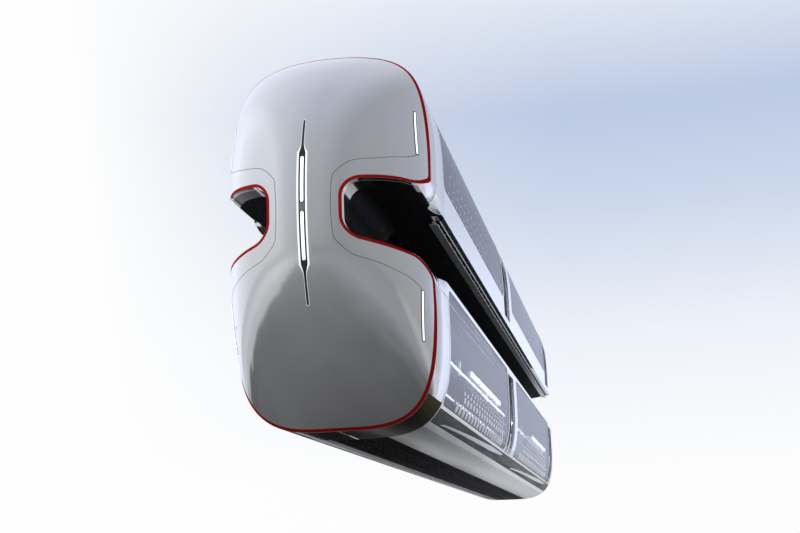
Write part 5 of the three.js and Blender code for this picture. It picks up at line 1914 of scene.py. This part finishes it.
def add_sky():
    """One soft sky to be seen, and a stronger one, uneven like daylight, that lights the car."""
    world = bpy.data.worlds.new("studio_sky")
    world.use_nodes = True
    sky = StageNodes(world.node_tree)
    sky.split(sky.node("ShaderNodeTexCoord", {}).outputs["Generated"])
    light = sky.ramp(sky.z, LIT_SKY)
    for share, gain in ((1.0, sky.ramp(sky.x, LIT_SIDES)), (1.0, sky.ramp(sky.y, LIT_BACK)),
                        (sky.ramp(sky.y, LIT_FAR_FROM), sky.ramp(sky.z, LIT_FAR))):
        light = sky.mixed(share, light, gain, "MULTIPLY")
    behind = sky.mixed(sky.ramp(sky.x, LIT_ROW_FROM), light, sky.ramp(sky.z, LIT_ROW), "MULTIPLY")
    light = sky.mixed(sky.ramp(sky.y, LIT_FAR_FROM), light, behind)
    seen = sky.mixed(sky.ramp(sky.x, SEEN_WHITE_LEFT), sky.ramp(sky.z, SEEN_SKY), SEEN_WHITE)
    lighting = world.node_tree.nodes["Background"]
    world.node_tree.links.new(light, lighting.inputs["Color"])
    viewing = sky.node("ShaderNodeBackground", {"Color": seen})
    path = sky.node("ShaderNodeLightPath", {})
    sockets = {"Fac": path.outputs["Is Camera Ray"], 1: lighting.outputs["Background"],
               2: viewing.outputs["Background"]}
    choice = sky.node("ShaderNodeMixShader", sockets)
    surface = world.node_tree.nodes["World Output"].inputs["Surface"]
    world.node_tree.links.new(choice.outputs["Shader"], surface)
    bpy.context.scene.world = world


# The floor is pale to the eye. To the car it shows painted light and shade: a painted shadow under the nose,
# mid grey before it, painted sunlit ground far off, on the left and behind. Each row: place along the car and
# tone
FLOOR_Z = -5.1
FLOOR_REACH = 300.0
FLOOR_SEEN = (0.76, 0.76, 0.76)
GROUND = ((-60.0, 0.52), (-36.6, 0.50), (-35.8, 0.41), (-21.0, 0.33), (-15.0, 0.26), (-11.0, 0.21),
          (-4.0, 0.12), (-0.5, 0.20), (3.6, 0.58), (6.5, 0.70), (10.0, 0.80), (26.0, 0.84))
GROUND_SPAN = 60.0
GROUND_TINT = (1.0, 0.985, 0.95)
GROUND_FAR_LEFT = (0.95, 0.94, 0.90)
# Other tones set in across the car, more painted light and shade: each row says from where, in full from
# where, and the tone
GROUND_ASIDE = ((4.0, 15.0, (0.55, 0.55, 0.545)), (-11.0, -12.0, (0.80, 0.79, 0.76)),
                (-18.0, -26.0, GROUND_FAR_LEFT))
# More of them, only along the car's own length and behind it: a painted shadow strip on the left and painted
# sunlit ground on the right
GROUND_BEHIND = (((-1.0, 1.0), ((-1.5, -3.5, (0.03, 0.03, 0.03)), (-14.0, -18.0, GROUND_FAR_LEFT))),
                 ((-4.0, 1.0), ((1.7, 5.0, (0.86, 0.845, 0.80)),)))
GROUND_RAGGED = 9.0


def floor_material():
    material = bpy.data.materials.new("pale_floor")
    material.use_nodes = True
    floor = StageNodes(material.node_tree)
    place = floor.node("ShaderNodeTexCoord", {}).outputs["Object"]
    ragged = floor.node("ShaderNodeTexNoise", {"Vector": place, "Scale": 0.35, "Detail": 6.0})
    reach, middle = (GROUND_RAGGED, GROUND_RAGGED, 0), (GROUND_RAGGED / 2, GROUND_RAGGED / 2, 0)
    shifted = floor.node("ShaderNodeVectorMath", {0: ragged.outputs["Color"], 1: reach, 2: place},
                         operation="MULTIPLY_ADD")
    centred = floor.node("ShaderNodeVectorMath", {0: shifted.outputs[0], 1: middle}, operation="SUBTRACT")
    floor.split(centred.outputs[0])

    def set_aside(tone, rows):
        for start, full, colour in rows:
            tone = floor.mixed(floor.span(floor.x, start, full), tone, colour)
        return tone

    # What the car sees of the ground, in reflections and bounced light, is painted light and shade
    tone = set_aside(floor.ramp(floor.y, GROUND, GROUND_SPAN, GROUND_TINT), GROUND_ASIDE)
    for along, rows in GROUND_BEHIND:
        tone = floor.mixed(floor.span(floor.y, *along), tone, set_aside(tone, rows))
    path = floor.node("ShaderNodeLightPath", {})
    tone = floor.mixed(path.outputs["Is Camera Ray"], tone, FLOOR_SEEN)
    shader = material.node_tree.nodes["Principled BSDF"]
    shader.inputs["Roughness"].default_value = 0.9
    shader.inputs["Specular IOR Level"].default_value = 0.0
    material.node_tree.links.new(tone, shader.inputs["Base Color"])
    return material


def add_floor():
    mesh = bpy.data.meshes.new("studio_floor")
    corners = oblong(-FLOOR_REACH, FLOOR_REACH, -FLOOR_REACH, FLOOR_REACH)
    mesh.from_pydata([(x, y, FLOOR_Z) for x, y in corners], [], [(0, 1, 2, 3)])
    mesh.materials.append(floor_material())
    ground = bpy.data.objects.new("studio_floor", mesh)
    bpy.context.scene.collection.objects.link(ground)


def add_stage():
    add_camera()
    add_sky()
    add_floor()
    add_lamp("key", (-30, -45, 35), (0, -10, 0), (30, 30), 9000, (1.0, 0.98, 0.95))
    bpy.context.scene.view_settings.view_transform = "Standard"


for build in (
        add_stage, build_nose_mask, build_edge_trim, build_nose_collar, build_neck_shade_sheets, build_collar_underside_shade,
        build_collar_corners, build_nose_seams, build_nose_sensors, build_light_bar, build_corner_lamps,
        build_side_frames, build_sill_bands, build_windows, build_window_light_bars, build_frit, build_doors,
        build_door_surrounds, build_shell, build_roof_crown, build_pan_details, build_groove_details,
        build_rail_details, build_floors, build_ceilings, build_benches, build_tail, build_coupler,
        dress_kept_nodes):
    build()
